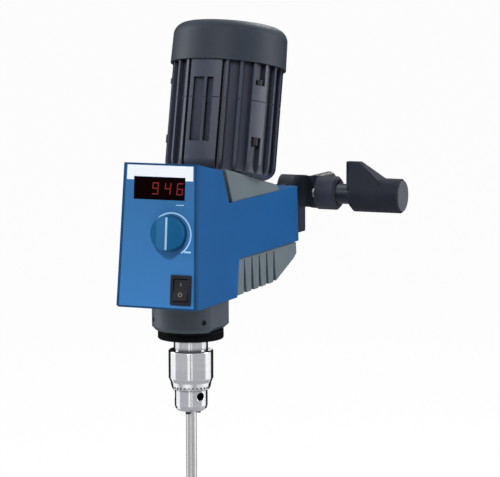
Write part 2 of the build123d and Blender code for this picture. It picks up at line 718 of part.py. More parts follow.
# ---- Shift fork and rack ----------------------------------------------------------------------
RACK_HALF = 23.0
RACK_WIDTH = 4.0
RACK_THICK = 3.0
RACK_TIP = 0.7  # short of a gear's tooth, since the pinion leans against the rack
RACK_TIP_HALF = 0.3
RACK_ROOT_HALF = 1.0
RACK_TEETH = 14
FORK_HALF = 5.3
PRONG_THICK = 2.4
knob_centre = panel.origin + panel.x_dir * KNOB_X + panel.y_dir * KNOB_UP - nose
pinion_back = panel.z_dir * (pinion_depth + PINION_WIDTH / 2)
pinion_y = knob_centre.Y - pinion_back.Y
pinion_z = knob_centre.Z - pinion_back.Z
rack_plane = Plane(
    origin=nose + Vector(0, pinion_y - RACK_WIDTH / 2, 0),
    x_dir=(1, 0, 0),
    z_dir=(0, -1, 0),
)
tooth_pitch = MODULE * pi
rack_face = RACK_X + TOOTH_ROOT
rack_sunk = TOOTH_ROOT + 0.25
prong_gap = WHEEL_THICK / 2 + GAP

with BuildPart() as shift_fork:
    with BuildSketch(rack_plane):
        with Locations((rack_face + RACK_THICK / 2, pinion_z)):
            Rectangle(RACK_THICK, 2 * RACK_HALF)
        with Locations((RACK_X, pinion_z)):
            with GridLocations(0, tooth_pitch, 1, RACK_TEETH):
                Polygon(
                    (rack_sunk, -RACK_ROOT_HALF),
                    (rack_sunk, RACK_ROOT_HALF),
                    (-RACK_TIP, RACK_TIP_HALF),
                    (-RACK_TIP, -RACK_TIP_HALF),
                    align=None,
                )
    extrude(amount=-RACK_WIDTH)
    with BuildSketch(level(WHEEL_HEIGHT - FORK_HALF)):
        with BuildLine():
            Polyline(
                (rack_face, pinion_y - RACK_WIDTH / 2),
                (rack_face + RACK_THICK, pinion_y - RACK_WIDTH / 2),
                (GUIDE_X + 2, GUIDE_Y),
                (GUIDE_X, GEAR_CENTRES + 5),
                (GUIDE_X - 3.0, GEAR_CENTRES + 5),
                (GUIDE_X - 3.0, GUIDE_Y),
                close=True,
            )
        make_face()
    extrude(amount=2 * FORK_HALF)
    with BuildSketch(level(WHEEL_HEIGHT - 8, GUIDE_Y, GUIDE_X)):
        Circle(GUIDE_R + 2.5)
    extrude(amount=16)
    for low in (WHEEL_HEIGHT - prong_gap - PRONG_THICK, WHEEL_HEIGHT + prong_gap):
        with BuildSketch(level(low, GEAR_CENTRES, 15.5)):
            Rectangle(8, 10)
        extrude(amount=PRONG_THICK)
    with BuildSketch(level(WHEEL_HEIGHT - 9, GUIDE_Y, GUIDE_X)):
        Circle(GUIDE_R + RUN)
    extrude(amount=18, mode=Mode.SUBTRACT)
shift_fork.part.label = "shift_fork"
export_step(shift_fork.part, "parts/shift_fork.step")

# ---- Friction wheel on its countershaft -------------------------------------------------------
contact_y = MOTOR_SEAT_Y - CONE_TIP_DEPTH * sin(lean) - CONE_TIP_R * cos(lean)
wheel_r = contact_y - GEAR_CENTRES - GAP
TYRE_WIDTH = 4.0
wheel_plane = level(WHEEL_HEIGHT - WHEEL_THICK / 2, GEAR_CENTRES)

with BuildPart() as friction_wheel:
    with BuildSketch(wheel_plane):
        Circle(wheel_r - TYRE_WIDTH)
    extrude(amount=WHEEL_THICK)
    with BuildSketch(wheel_plane.offset(-1.5)):
        Circle(COUNTERSHAFT_R + 3)
    extrude(amount=WHEEL_THICK + 3)
    with BuildSketch(wheel_plane.offset(-2)):
        Circle(COUNTERSHAFT_R + RUN)
    extrude(amount=WHEEL_THICK + 4, mode=Mode.SUBTRACT)
friction_wheel.part.label = "friction_wheel"
export_step(friction_wheel.part, "parts/friction_wheel.step")

with BuildPart() as friction_tyre:
    add(ring(wheel_plane, wheel_r, wheel_r - TYRE_WIDTH, WHEEL_THICK))
friction_tyre.part.label = "friction_tyre"
export_step(friction_tyre.part, "parts/friction_tyre.step")

HIGH_GEAR_HEIGHT = 106.0
HIGH_GEAR_WIDTH = 4.0
LOW_DRIVER_HEIGHT = 94.0
LOW_DRIVEN_HEIGHT = 100.0
LOW_GEAR_WIDTH = 3.5
low_driven_teeth = HIGH_DRIVER_TEETH + HIGH_DRIVEN_TEETH - LOW_DRIVER_TEETH

with BuildPart() as countershaft:
    with BuildSketch(level(GEAR_PLATE_HEIGHT, GEAR_CENTRES)):
        Circle(COUNTERSHAFT_R)
    extrude(amount=BUSH_HEIGHT + BUSH_LENGTH - GEAR_PLATE_HEIGHT)
countershaft.part.label = "countershaft"
export_step(countershaft.part, "parts/countershaft.step")

with BuildPart() as high_drive_gear:
    with BuildSketch(level(HIGH_GEAR_HEIGHT, GEAR_CENTRES)):
        add(gear_outline(HIGH_DRIVER_TEETH, COUNTERSHAFT_R + SEAT, first_tooth=-90))
    extrude(amount=HIGH_GEAR_WIDTH)
high_drive_gear.part.label = "high_drive_gear"
export_step(high_drive_gear.part, "parts/high_drive_gear.step")

with BuildPart() as low_drive_gear:
    with BuildSketch(level(LOW_DRIVER_HEIGHT, GEAR_CENTRES)):
        add(gear_outline(LOW_DRIVER_TEETH, COUNTERSHAFT_R - 1, first_tooth=-90))
        Circle(COUNTERSHAFT_R + SEAT, mode=Mode.SUBTRACT)
    extrude(amount=LOW_GEAR_WIDTH)
low_drive_gear.part.label = "low_drive_gear"
export_step(low_drive_gear.part, "parts/low_drive_gear.step")

# ---- Hollow spindle and its gears -------------------------------------------------------------
SPINDLE_LOW = 34.0
SPINDLE_TOP = 150.0
with BuildPart() as hollow_spindle:
    with BuildSketch(level(SPINDLE_LOW)):
        Circle(SPINDLE_R)
        Circle(SPINDLE_BORE / 2, mode=Mode.SUBTRACT)
    extrude(amount=SPINDLE_TOP - SPINDLE_LOW)
    chamfer(hollow_spindle.faces().sort_by(Axis.Z)[-1].edges(), length=0.5)
hollow_spindle.part.label = "hollow_spindle"
export_step(hollow_spindle.part, "parts/hollow_spindle.step")

with BuildPart() as spindle_gears:
    with BuildSketch(level(HIGH_GEAR_HEIGHT)):
        half_tooth = 180 / HIGH_DRIVEN_TEETH
        add(gear_outline(HIGH_DRIVEN_TEETH, SPINDLE_R + SEAT, first_tooth=90 + half_tooth))
    extrude(amount=HIGH_GEAR_WIDTH)
    with BuildSketch(level(LOW_DRIVEN_HEIGHT)):
        add(gear_outline(low_driven_teeth, SPINDLE_R + SEAT))
    extrude(amount=LOW_GEAR_WIDTH)
    with BuildSketch(level(LOW_DRIVEN_HEIGHT)):
        Circle(SPINDLE_R + 2.5)
        Circle(SPINDLE_R + SEAT, mode=Mode.SUBTRACT)
    extrude(amount=HIGH_GEAR_HEIGHT - LOW_DRIVEN_HEIGHT + 1)
spindle_gears.part.label = "spindle_gears"
export_step(spindle_gears.part, "parts/spindle_gears.step")

# ---- Gear-range ring --------------------------------------------------------------------------
KNURL_COUNT = 72
RING_LIP = 1.8  # plain rim above the grip band
RING_GROOVE = 0.8
ring_top = FLANGE_BOTTOM - GAP
with BuildPart() as range_ring:
    with BuildSketch(level(RING_BOTTOM)):
        Circle(RING_R)
    extrude(amount=ring_top - RING_BOTTOM)
    chamfer(range_ring.faces().sort_by(Axis.Z)[0].edges(), length=0.8)
    with BuildSketch(level(ring_top - RING_LIP - RING_GROOVE)):
        Circle(RING_R + 1)
        Circle(RING_R - RING_GROOVE, mode=Mode.SUBTRACT)
    extrude(amount=RING_GROOVE, mode=Mode.SUBTRACT)
    with BuildSketch(level(RING_BOTTOM - 1)):
        with PolarLocations(RING_R + 0.25, KNURL_COUNT):
            Circle(0.5)
    extrude(amount=ring_top - RING_LIP - RING_BOTTOM, mode=Mode.SUBTRACT)
    with BuildSketch(level(RING_BOTTOM)):
        Circle(SPIGOT_R + RUN)
    extrude(amount=FLANGE_BOTTOM, mode=Mode.SUBTRACT)
range_ring.part.label = "range_ring"
export_step(range_ring.part, "parts/range_ring.step")

# ---- Three-jaw chuck --------------------------------------------------------------------------
CHUCK_MOUTH_R = 5.05
CHUCK_BACK = 58.0
JAW_COUNT = 3
JAW_LOW = -1.8  # tips of the jaws, below the nose
JAW_TOP = 20.0
KEY_HOLE_R = 3.2
KEY_HOLE_HEIGHT = 11.8
KEY_HOLE_ANGLE = -30.6
jaw_pitch_r = SHAFT_D / 2 + CHUCK_JAW_R  # jaw's axis at the height where it grips
JAW_PITCH_HEIGHT = 5.0


def jaw_plane(index):
    """Plane at a jaw's grip height, square to the jaw's slanting axis."""
    angle = radians(KEY_HOLE_ANGLE + 60 + 360 / JAW_COUNT * index)
    out = Vector(cos(angle), sin(angle), 0)
    across_jaw = Vector(-sin(angle), cos(angle), 0)
    slope = radians(JAW_SLOPE)
    return Plane(
        origin=nose + out * jaw_pitch_r + Vector(0, 0, JAW_PITCH_HEIGHT),
        x_dir=across_jaw,
        z_dir=out * sin(slope) + Vector(0, 0, cos(slope)),
    )


with BuildPart() as chuck_body:
    with BuildSketch(front):
        with BuildLine():
            Polyline(
                (CHUCK_MOUTH_R + 1.9, 0),
                (CHUCK_NOSE_R - 2.6, 0.4),
                (CHUCK_NOSE_R - 0.6, 2.2),
                (CHUCK_NOSE_R, 4.5),
                (CHUCK_NOSE_R, 16.2),
                (CHUCK_NECK_R, 17.0),
                (CHUCK_NECK_R, CHUCK_BACK - 0.6),
                (CHUCK_NECK_R - 0.6, CHUCK_BACK),
                (SPINDLE_R + SEAT, CHUCK_BACK),
                (SPINDLE_R + SEAT, SPINDLE_LOW),
                (CHUCK_MOUTH_R, SPINDLE_LOW),
                (CHUCK_MOUTH_R, 2.0),
                close=True,
            )
        make_face()
    revolve(axis=spindle_axis)
    for index in range(JAW_COUNT):
        with BuildSketch(jaw_plane(index).offset(-JAW_PITCH_HEIGHT - 4)):
            Circle(CHUCK_JAW_R + RUN)
        extrude(amount=JAW_TOP + 12, mode=Mode.SUBTRACT)
    for index in range(JAW_COUNT):
        angle = radians(KEY_HOLE_ANGLE + 360 / JAW_COUNT * index)
        hole_plane = Plane(
            origin=nose + Vector(0, 0, KEY_HOLE_HEIGHT),
            x_dir=(0, 0, 1),
            z_dir=(cos(angle), sin(angle), 0),
        )
        with BuildSketch(hole_plane.offset(CHUCK_NOSE_R - 4.5)):
            Circle(KEY_HOLE_R)
        extrude(amount=6, mode=Mode.SUBTRACT)
chuck_body.part.label = "chuck_body"
export_step(chuck_body.part, "parts/chuck_body.step")

SLEEVE_LOW = 16.6
SLEEVE_SHOULDER = 25.0
SLEEVE_TOP = 46.0
NUT_R = 15.8
NUT_TOP = 32.0
SLEEVE_TEETH = 30
with BuildPart() as chuck_sleeve:
    with BuildSketch(front):
        with BuildLine():
            Polyline(
                (CHUCK_NECK_R + RUN, 17.6),
                (CHUCK_NECK_R + 1.0, SLEEVE_LOW),
                (14.6, 18.2),
                (15.3, 22.0),
                (SLEEVE_R, SLEEVE_SHOULDER),
                (SLEEVE_R, SLEEVE_TOP - 0.8),
                (SLEEVE_R - 0.8, SLEEVE_TOP),
                (CHUCK_NECK_R + RUN, SLEEVE_TOP),
                (CHUCK_NECK_R + RUN, NUT_TOP),
                (NUT_R, NUT_TOP),
                (NUT_R, SLEEVE_SHOULDER + 0.8),
                (CHUCK_NECK_R + RUN, SLEEVE_SHOULDER + 0.8),
                close=True,
            )
        make_face()
    revolve(axis=spindle_axis)
    with BuildSketch(level(SLEEVE_LOW - 1)):
        with PolarLocations(CHUCK_NECK_R + 2.4, SLEEVE_TEETH):
            Rectangle(2.6, 1.7)
    extrude(amount=3.4, mode=Mode.SUBTRACT)
chuck_sleeve.part.label = "chuck_sleeve"
export_step(chuck_sleeve.part, "parts/chuck_sleeve.step")

with BuildPart() as chuck_nut:
    add(ring(level(SLEEVE_SHOULDER + 0.8), NUT_R - SEAT, CHUCK_NECK_R + 0.2, NUT_TOP - SLEEVE_SHOULDER - 0.8))
chuck_nut.part.label = "chuck_nut"
export_step(chuck_nut.part, "parts/chuck_nut.step")

for index in range(JAW_COUNT):
    with BuildPart() as chuck_jaw:
        with BuildSketch(jaw_plane(index).offset(JAW_LOW - JAW_PITCH_HEIGHT)):
            Circle(CHUCK_JAW_R)
        extrude(amount=JAW_TOP - JAW_LOW)
        with BuildSketch(level(JAW_LOW - 1)):
            Circle(SHAFT_D / 2 + RUN)
        extrude(amount=JAW_TOP, mode=Mode.SUBTRACT)
    chuck_jaw.part.label = f"chuck_jaw_{index + 1}"
    export_step(chuck_jaw.part, f"parts/chuck_jaw_{index + 1}.step")

# ---- Stirring shaft and impeller --------------------------------------------------------------
HUB_R = 8.0
HUB_LENGTH = 14.0
BLADE_COUNT = 4
BLADE_PITCH = 40.0
BLADE_WIDTH = 15.0
BLADE_THICK = 1.6
shaft_bottom = SHAFT_TOP - SHAFT_LENGTH
blade_height = shaft_bottom + HUB_LENGTH / 2

with BuildPart() as stirring_shaft:
    with BuildSketch(level(shaft_bottom)):
        Circle(SHAFT_D / 2)
    extrude(amount=SHAFT_LENGTH)
    chamfer(stirring_shaft.faces().sort_by(Axis.Z)[-1].edges(), length=0.6)
stirring_shaft.part.label = "stirring_shaft"
export_step(stirring_shaft.part, "parts/stirring_shaft.step")

with BuildPart() as impeller:
    for index in range(BLADE_COUNT):
        angle = radians(360 / BLADE_COUNT * index)
        out = Vector(cos(angle), sin(angle), 0)
        along = Vector(-sin(angle), cos(angle), 0)
        pitch = radians(BLADE_PITCH)
        blade_plane = Plane(
            origin=nose + Vector(0, 0, blade_height),
            x_dir=out,
            z_dir=along * sin(pitch) + Vector(0, 0, cos(pitch)),
        )
        with BuildSketch(blade_plane):
            with Locations(((IMPELLER_R + HUB_R - 3) / 2, 0)):
                RectangleRounded(IMPELLER_R - HUB_R + 3, BLADE_WIDTH, 4.0)
        extrude(amount=BLADE_THICK / 2, both=True)
    with BuildSketch(level(shaft_bottom)):
        Circle(HUB_R)
    extrude(amount=HUB_LENGTH)
    with BuildSketch(level(shaft_bottom - 5)):
        Circle(SHAFT_D / 2 + SEAT)
    extrude(amount=HUB_LENGTH + 10, mode=Mode.SUBTRACT)
impeller.part.label = "impeller"
export_step(impeller.part, "parts/impeller.step")

# ---- Motor housing ----------------------------------------------------------------------------
FRONT_PAD = 12.5  # half width of the flat pad on the motor's front
PAD_LOW = 28.0
PAD_HIGH = 67.0
TIE_SCREW_R = 2.2
END_WALL = 4.0
fin_root = MOTOR_R - FIN_DEPTH
motor_bore = fin_root - 3.0
spigot_r = MOTOR_R - 0.8
fin_angle = 360 / FIN_COUNT
MOTOR_BEARING_R = 9.0
MOTOR_BEARING_HEIGHT = 5.0
screw_pad_angles = (-30, 90, 210)
label_slots = ((-4.7, 9.0), (4.5, 5.0))  # middle and width of the two slots in the front pad
SLOT_LOW = 22.0
SLOT_HIGH = 70.0
SPLIT_LINE = 0.6  # step at the joint of the housing's two halves


def fin_grooves(height, length, cut_pads):
    """Solid that is cut from the motor to leave its fins and its flat front pad."""
    with BuildPart() as grooves:
        with BuildSketch(motor.offset(height)):
            Circle(MOTOR_R + 2)
            Circle(fin_root, mode=Mode.SUBTRACT)
            with PolarLocations(0, FIN_COUNT, start_angle=fin_angle / 2):
                Rectangle(
                    MOTOR_R + 3,
                    FIN_WIDTH,
                    align=(Align.MIN, Align.CENTER),
                    mode=Mode.SUBTRACT,
                )
            with Locations((0, -MOTOR_R + 1)):
                Rectangle(2 * FRONT_PAD, 2 * FIN_DEPTH + 4, mode=Mode.SUBTRACT)
        extrude(amount=length)
        if cut_pads:
            with BuildSketch(motor.offset(PAD_LOW)):
                for angle in screw_pad_angles:
                    with Locations(Rotation(0, 0, angle)):
                        Polygon(
                            (fin_root - 1, -5.0),
                            (MOTOR_R + 3, -5.6),
                            (MOTOR_R + 3, 5.6),
                            (fin_root - 1, 5.0),
                            align=None,
                        )
            extrude(amount=PAD_HIGH - PAD_LOW, mode=Mode.SUBTRACT)
    return grooves.part


with BuildPart() as motor_housing_lower:
    with BuildSketch(motor):
        Circle(MOTOR_R)
    extrude(amount=MOTOR_SPLIT)
    fillet(motor_housing_lower.edges().group_by(Axis(motor.origin, motor.z_dir))[0], radius=MOTOR_EDGE)
    add(fin_grooves(0, MOTOR_SPLIT, True), mode=Mode.SUBTRACT)
    with BuildSketch(motor.offset(END_WALL)):
        Circle(motor_bore)
    extrude(amount=MOTOR_SPLIT, mode=Mode.SUBTRACT)
    with BuildSketch(motor):
        Circle(MOTOR_BEARING_R + 3)
    extrude(amount=END_WALL + MOTOR_BEARING_HEIGHT)
    with BuildSketch(motor.offset(END_WALL)):
        Circle(MOTOR_BEARING_R + SEAT)
    extrude(amount=MOTOR_BEARING_HEIGHT, mode=Mode.SUBTRACT)
    with BuildSketch(motor):
        Circle(MOTOR_SHAFT_R + 1)
    extrude(amount=END_WALL, mode=Mode.SUBTRACT)
    for x, width in label_slots:
        with BuildSketch(motor.offset(SLOT_LOW)):
            with Locations((x, -MOTOR_R)):
                Rectangle(width, 2 * FIN_DEPTH)
        extrude(amount=MOTOR_SPLIT, mode=Mode.SUBTRACT)
    with BuildSketch(motor.offset(MOTOR_SPLIT - SPLIT_LINE)):
        Circle(MOTOR_R + 2)
        Circle(MOTOR_R - SPLIT_LINE, mode=Mode.SUBTRACT)
    extrude(amount=SPLIT_LINE, mode=Mode.SUBTRACT)
motor_housing_lower.part.label = "motor_housing_lower"
export_step(motor_housing_lower.part, "parts/motor_housing_lower.step")

upper_height = MOTOR_HEIGHT - MOTOR_SPLIT
CAP_LAP = 3.0  # spigot that the cap sits over
with BuildPart() as motor_housing_upper:
    with BuildSketch(motor.offset(MOTOR_SPLIT)):
        Circle(MOTOR_R)
    extrude(amount=upper_height)
    add(fin_grooves(MOTOR_SPLIT, upper_height, True), mode=Mode.SUBTRACT)
    with BuildSketch(motor.offset(MOTOR_HEIGHT)):
        Circle(spigot_r)
    extrude(amount=CAP_LAP)
    with BuildSketch(motor.offset(MOTOR_SPLIT)):
        Circle(motor_bore)
    extrude(amount=MOTOR_HEIGHT + CAP_LAP - END_WALL - MOTOR_SPLIT, mode=Mode.SUBTRACT)
    with BuildSketch(motor.offset(MOTOR_HEIGHT + CAP_LAP - END_WALL - MOTOR_BEARING_HEIGHT)):
        Circle(MOTOR_BEARING_R + 3)
        Circle(MOTOR_BEARING_R + SEAT, mode=Mode.SUBTRACT)
    extrude(amount=MOTOR_BEARING_HEIGHT)
    with BuildSketch(motor.offset(MOTOR_HEIGHT + CAP_LAP - END_WALL)):
        Circle(MOTOR_SHAFT_R + 1)
    extrude(amount=END_WALL, mode=Mode.SUBTRACT)
    for x, width in label_slots:
        with BuildSketch(motor.offset(MOTOR_SPLIT)):
            with Locations((x, -MOTOR_R)):
                Rectangle(width, 2 * FIN_DEPTH)
        extrude(amount=SLOT_HIGH - MOTOR_SPLIT, mode=Mode.SUBTRACT)
motor_housing_upper.part.label = "motor_housing_upper"
export_step(motor_housing_upper.part, "parts/motor_housing_upper.step")

CAP_WALL = 2.5
CAP_EDGE = 9.5
CAP_DOME = 1.0
with BuildPart() as motor_cap:
    with BuildSketch(motor_cut):
        with BuildLine():
            base = MOTOR_HEIGHT
            top = MOTOR_HEIGHT + CAP_HEIGHT
            Line((0, top), (0, base))
            Line((0, base), (CAP_R, base))
            Line((CAP_R, base), (CAP_R - 0.6, top - CAP_EDGE))
            ThreePointArc(
                (CAP_R - 0.6, top - CAP_EDGE),
                (CAP_R - 0.6 - CAP_EDGE * 0.32, top - CAP_EDGE * 0.32 - 0.6),
                (CAP_R - 0.6 - CAP_EDGE, top - CAP_DOME),
            )
            Line((CAP_R - 0.6 - CAP_EDGE, top - CAP_DOME), (0, top))
        make_face()
    revolve(axis=motor_axis)
    with BuildSketch(motor_cut):
        with BuildLine():
            Polyline(
                (0, base - 1),
                (spigot_r + SEAT, base - 1),
                (spigot_r + SEAT, base + CAP_LAP + 2),
                (CAP_R - 0.6 - CAP_WALL - 0.6, top - CAP_EDGE),
                (CAP_R - CAP_WALL - CAP_EDGE, top - CAP_WALL - CAP_DOME),
                (0, top - CAP_WALL - CAP_DOME),
                close=True,
            )
        make_face()
    revolve(axis=motor_axis, mode=Mode.SUBTRACT)
motor_cap.part.label = "motor_cap"
export_step(motor_cap.part, "parts/motor_cap.step")

with BuildPart() as tie_screws:
    for angle in screw_pad_angles:
        turn = radians(angle)
        foot = motor.origin + (motor.x_dir * cos(turn) + motor.y_dir * sin(turn)) * (fin_root + TIE_SCREW_R + SEAT)
        for height, length in ((PAD_LOW - 6.0, 6.0), (PAD_HIGH, 4.0)):
            with BuildSketch(Plane(origin=foot + motor.z_dir * height, x_dir=motor.x_dir, z_dir=motor.z_dir)):
                Circle(TIE_SCREW_R)
            extrude(amount=length)
tie_screws.part.label = "tie_screws"
export_step(tie_screws.part, "parts/tie_screws.step")

# ---- Inside the motor -------------------------------------------------------------------------
ROTOR_R = 20.0
AIR_GAP = 0.5
STATOR_LOW = 18.0
STATOR_LENGTH = 42.0
WINDING_LENGTH = 7.0
FAN_LOW = 88.0
FAN_R = 33.0
shaft_low = -(CONE_TOP_DEPTH + 20.0)

with BuildPart() as stator:
    add(ring(motor.offset(STATOR_LOW), motor_bore - SEAT, ROTOR_R + AIR_GAP, STATOR_LENGTH))
stator.part.label = "stator"
export_step(stator.part, "parts/stator.step")

with BuildPart() as windings:
    for height in (STATOR_LOW - WINDING_LENGTH, STATOR_LOW + STATOR_LENGTH):
        add(ring(motor.offset(height), motor_bore - 4, ROTOR_R + 3, WINDING_LENGTH))
windings.part.label = "windings"
export_step(windings.part, "parts/windings.step")

with BuildPart() as motor_bearings:
    for height in (END_WALL, MOTOR_HEIGHT + CAP_LAP - END_WALL - MOTOR_BEARING_HEIGHT):
        add(ring(motor.offset(height), MOTOR_BEARING_R, MOTOR_SHAFT_R + RUN, MOTOR_BEARING_HEIGHT))
motor_bearings.part.label = "motor_bearings"
export_step(motor_bearings.part, "parts/motor_bearings.step")

with BuildPart() as rotor:
    add(ring(motor.offset(STATOR_LOW + 1), ROTOR_R, MOTOR_SHAFT_R + SEAT, STATOR_LENGTH - 2))
rotor.part.label = "rotor"
export_step(rotor.part, "parts/rotor.step")

with BuildPart() as motor_shaft:
    with BuildSketch(motor.offset(shaft_low)):
        Circle(MOTOR_SHAFT_R)
    extrude(amount=FAN_LOW + 9 - shaft_low)
motor_shaft.part.label = "motor_shaft"
export_step(motor_shaft.part, "parts/motor_shaft.step")

cone_top_r = CONE_TIP_R + (CONE_TIP_DEPTH - CONE_TOP_DEPTH) * tan(lean)
with BuildPart() as friction_cone:
    with BuildSketch(motor_cut):
        with BuildLine():
            Polyline(
                (0, -CONE_TIP_DEPTH),
                (CONE_TIP_R, -CONE_TIP_DEPTH),
                (cone_top_r, -CONE_TOP_DEPTH),
                (MOTOR_SHAFT_R + SEAT, -CONE_TOP_DEPTH),
                (MOTOR_SHAFT_R + SEAT, shaft_low),
                (0, shaft_low),
                close=True,
            )
        make_face()
    revolve(axis=motor_axis)
friction_cone.part.label = "friction_cone"
export_step(friction_cone.part, "parts/friction_cone.step")

FAN_BLADES = 8
with BuildPart() as cooling_fan:
    with BuildSketch(motor.offset(FAN_LOW)):
        Circle(FAN_R)
    extrude(amount=1.5)
    with BuildSketch(motor.offset(FAN_LOW)):
        Circle(8)
        with PolarLocations((FAN_R + 6) / 2, FAN_BLADES):
            Rectangle(FAN_R - 8, 1.6)
    extrude(amount=9)
    with BuildSketch(motor.offset(FAN_LOW)):
        Circle(MOTOR_SHAFT_R + SEAT)
    extrude(amount=9, mode=Mode.SUBTRACT)
cooling_fan.part.label = "cooling_fan"
export_step(cooling_fan.part, "parts/cooling_fan.step")

# ---- Electrics in the arm ---------------------------------------------------------------------
CAPACITOR_R = 11.0
with BuildPart() as power_board:
    with BuildSketch(level(POWER_BOARD_HEIGHT, BOARD_Y)):
        Rectangle(BOARD_WIDTH, BOARD_LENGTH)
    extrude(amount=1.6)
power_board.part.label = "power_board"
export_step(power_board.part, "parts/power_board.step")

with BuildPart() as run_capacitor:
    with BuildSketch(lengthwise(BOARD_Y - 16, POWER_BOARD_HEIGHT + 1.6 + CAPACITOR_R, -10.0)):
        Circle(CAPACITOR_R)
    extrude(amount=36)
    fillet(run_capacitor.edges(), radius=1.5)
run_capacitor.part.label = "run_capacitor"
export_step(run_capacitor.part, "parts/run_capacitor.step")

GLAND_X = -14.0
GLAND_HEIGHT = 125.0
with BuildPart() as cord_gland:
    gland_plane = lengthwise(ARM_REAR, GLAND_HEIGHT, GLAND_X)
    with BuildSketch(gland_plane):
        RegularPolygon(8.0, 6)
    extrude(amount=4)
    with BuildSketch(gland_plane):
        Circle(6.0)
    extrude(amount=9)
    with BuildSketch(gland_plane):
        Circle(3.6)
    extrude(amount=9, mode=Mode.SUBTRACT)
cord_gland.part.label = "cord_gland"
export_step(cord_gland.part, "parts/cord_gland.step")

with BuildPart() as extension_arm:
    with BuildSketch(lengthwise(ARM_REAR - ARM_SEAT)):
        Circle(ARM_D / 2)
    extrude(amount=ARM_LENGTH)
    chamfer(extension_arm.edges(), length=0.8)
extension_arm.part.label = "extension_arm"
export_step(extension_arm.part, "parts/extension_arm.step")

# ---- Boss head --------------------------------------------------------------------------------
JAW_LEFT = 5.5
JAW_RIGHT = 49.0
JAW_MOUTH = 32.0  # right wall of the rod's notch
COLLAR_LEFT = -8.5
COLLAR_RIGHT = 12.0
BRIDGE_LEFT = 3.0  # left side of the block between jaw and collar
LIP_ANGLE = 25.0  # how far the left wall hooks round the front of the rod
jaw_y = ROD_REACH + JAW_SET_BACK
rod_r = ROD_D / 2
notch_front = ROD_REACH - JAW_R - 5
lip_x = ROD_OFFSET - rod_r * cos(radians(LIP_ANGLE))
lip_y = ROD_REACH - rod_r * sin(radians(LIP_ANGLE))
web_y = ROD_REACH + rod_r * sin(radians(55))

with BuildPart() as boss_head:
    with BuildSketch(across(JAW_LEFT, jaw_y, JAW_HEIGHT)):
        Circle(JAW_R)
    extrude(amount=JAW_RIGHT - JAW_LEFT)
    chamfer(boss_head.edges().filter_by(GeomType.CIRCLE), length=2.2)
    with BuildSketch(across(COLLAR_LEFT, ARM_COLLAR_Y, JAW_HEIGHT)):
        Circle(ARM_COLLAR_R)
    extrude(amount=COLLAR_RIGHT - COLLAR_LEFT)
    with BuildSketch(across(BRIDGE_LEFT, (jaw_y + ARM_COLLAR_Y) / 2, JAW_HEIGHT)):
        Rectangle(ARM_COLLAR_Y - jaw_y, 17.0)
    extrude(amount=COLLAR_RIGHT - BRIDGE_LEFT)
    with BuildSketch(level(0)):
        with Locations((ROD_OFFSET, ROD_REACH)):
            Circle(rod_r)
        with Locations(((lip_x + JAW_MOUTH) / 2, (notch_front + lip_y) / 2)):
            Rectangle(JAW_MOUTH - lip_x, lip_y - notch_front)
        with Locations(((ROD_OFFSET + JAW_MOUTH) / 2, (notch_front + web_y) / 2)):
            Rectangle(JAW_MOUTH - ROD_OFFSET, web_y - notch_front)
    extrude(amount=2 * JAW_HEIGHT, mode=Mode.SUBTRACT)
    with BuildSketch(lengthwise(ROD_REACH)):
        Circle(ARM_D / 2 + RUN)
    extrude(amount=50, mode=Mode.SUBTRACT)
    with BuildSketch(lengthwise(ROD_REACH - 20)):
        Circle(ARM_D / 2 + RUN)
    extrude(amount=50, mode=Mode.SUBTRACT)
    with BuildSketch(across(JAW_MOUTH - 1, ROD_REACH, JAW_HEIGHT)):
        Circle(SCREW_R + RUN)
    extrude(amount=JAW_RIGHT - JAW_MOUTH + 2, mode=Mode.SUBTRACT)
    with BuildSketch(level(JAW_HEIGHT - ARM_COLLAR_R - 1, ARM_COLLAR_Y)):
        Circle(SCREW_R + RUN)
    extrude(amount=ARM_COLLAR_R, mode=Mode.SUBTRACT)
boss_head.part.label = "boss_head"
export_step(boss_head.part, "parts/boss_head.step")

# ---- Rod screw --------------------------------------------------------------------------------
PAD_LENGTH = 2.5
SHOULDER_R = 8.0
SHOULDER_LEFT = 49.4
KNOB_LEFT = 57.0  # wing's left edge
GRIP_LEFT = 60.5  # left end of the knob's round grip
KNOB_RIGHT = 103.0
WING_TOP = 26.0  # wing's edge above the screw's axis
WING_HALF = 3.2  # half thickness at the wing's edge
WING_LENGTH = 29.0
rod_face = ROD_OFFSET + rod_r

with BuildPart() as rod_pad:
    with BuildSketch(across(rod_face, ROD_REACH, JAW_HEIGHT)):
        Circle(SCREW_R - 0.2)
    extrude(amount=PAD_LENGTH)
    chamfer(rod_pad.edges(), length=0.4)
rod_pad.part.label = "rod_pad"
export_step(rod_pad.part, "parts/rod_pad.step")

with BuildPart() as rod_screw:
    with BuildSketch(across(rod_face + PAD_LENGTH, ROD_REACH, JAW_HEIGHT)):
        Circle(SCREW_R)
    extrude(amount=KNOB_LEFT - rod_face - PAD_LENGTH + 20)
    with BuildSketch(across(SHOULDER_LEFT, ROD_REACH, JAW_HEIGHT)):
        Circle(SHOULDER_R)
    extrude(amount=GRIP_LEFT - SHOULDER_LEFT)
rod_screw.part.label = "rod_screw"
export_step(rod_screw.part, "parts/rod_screw.step")

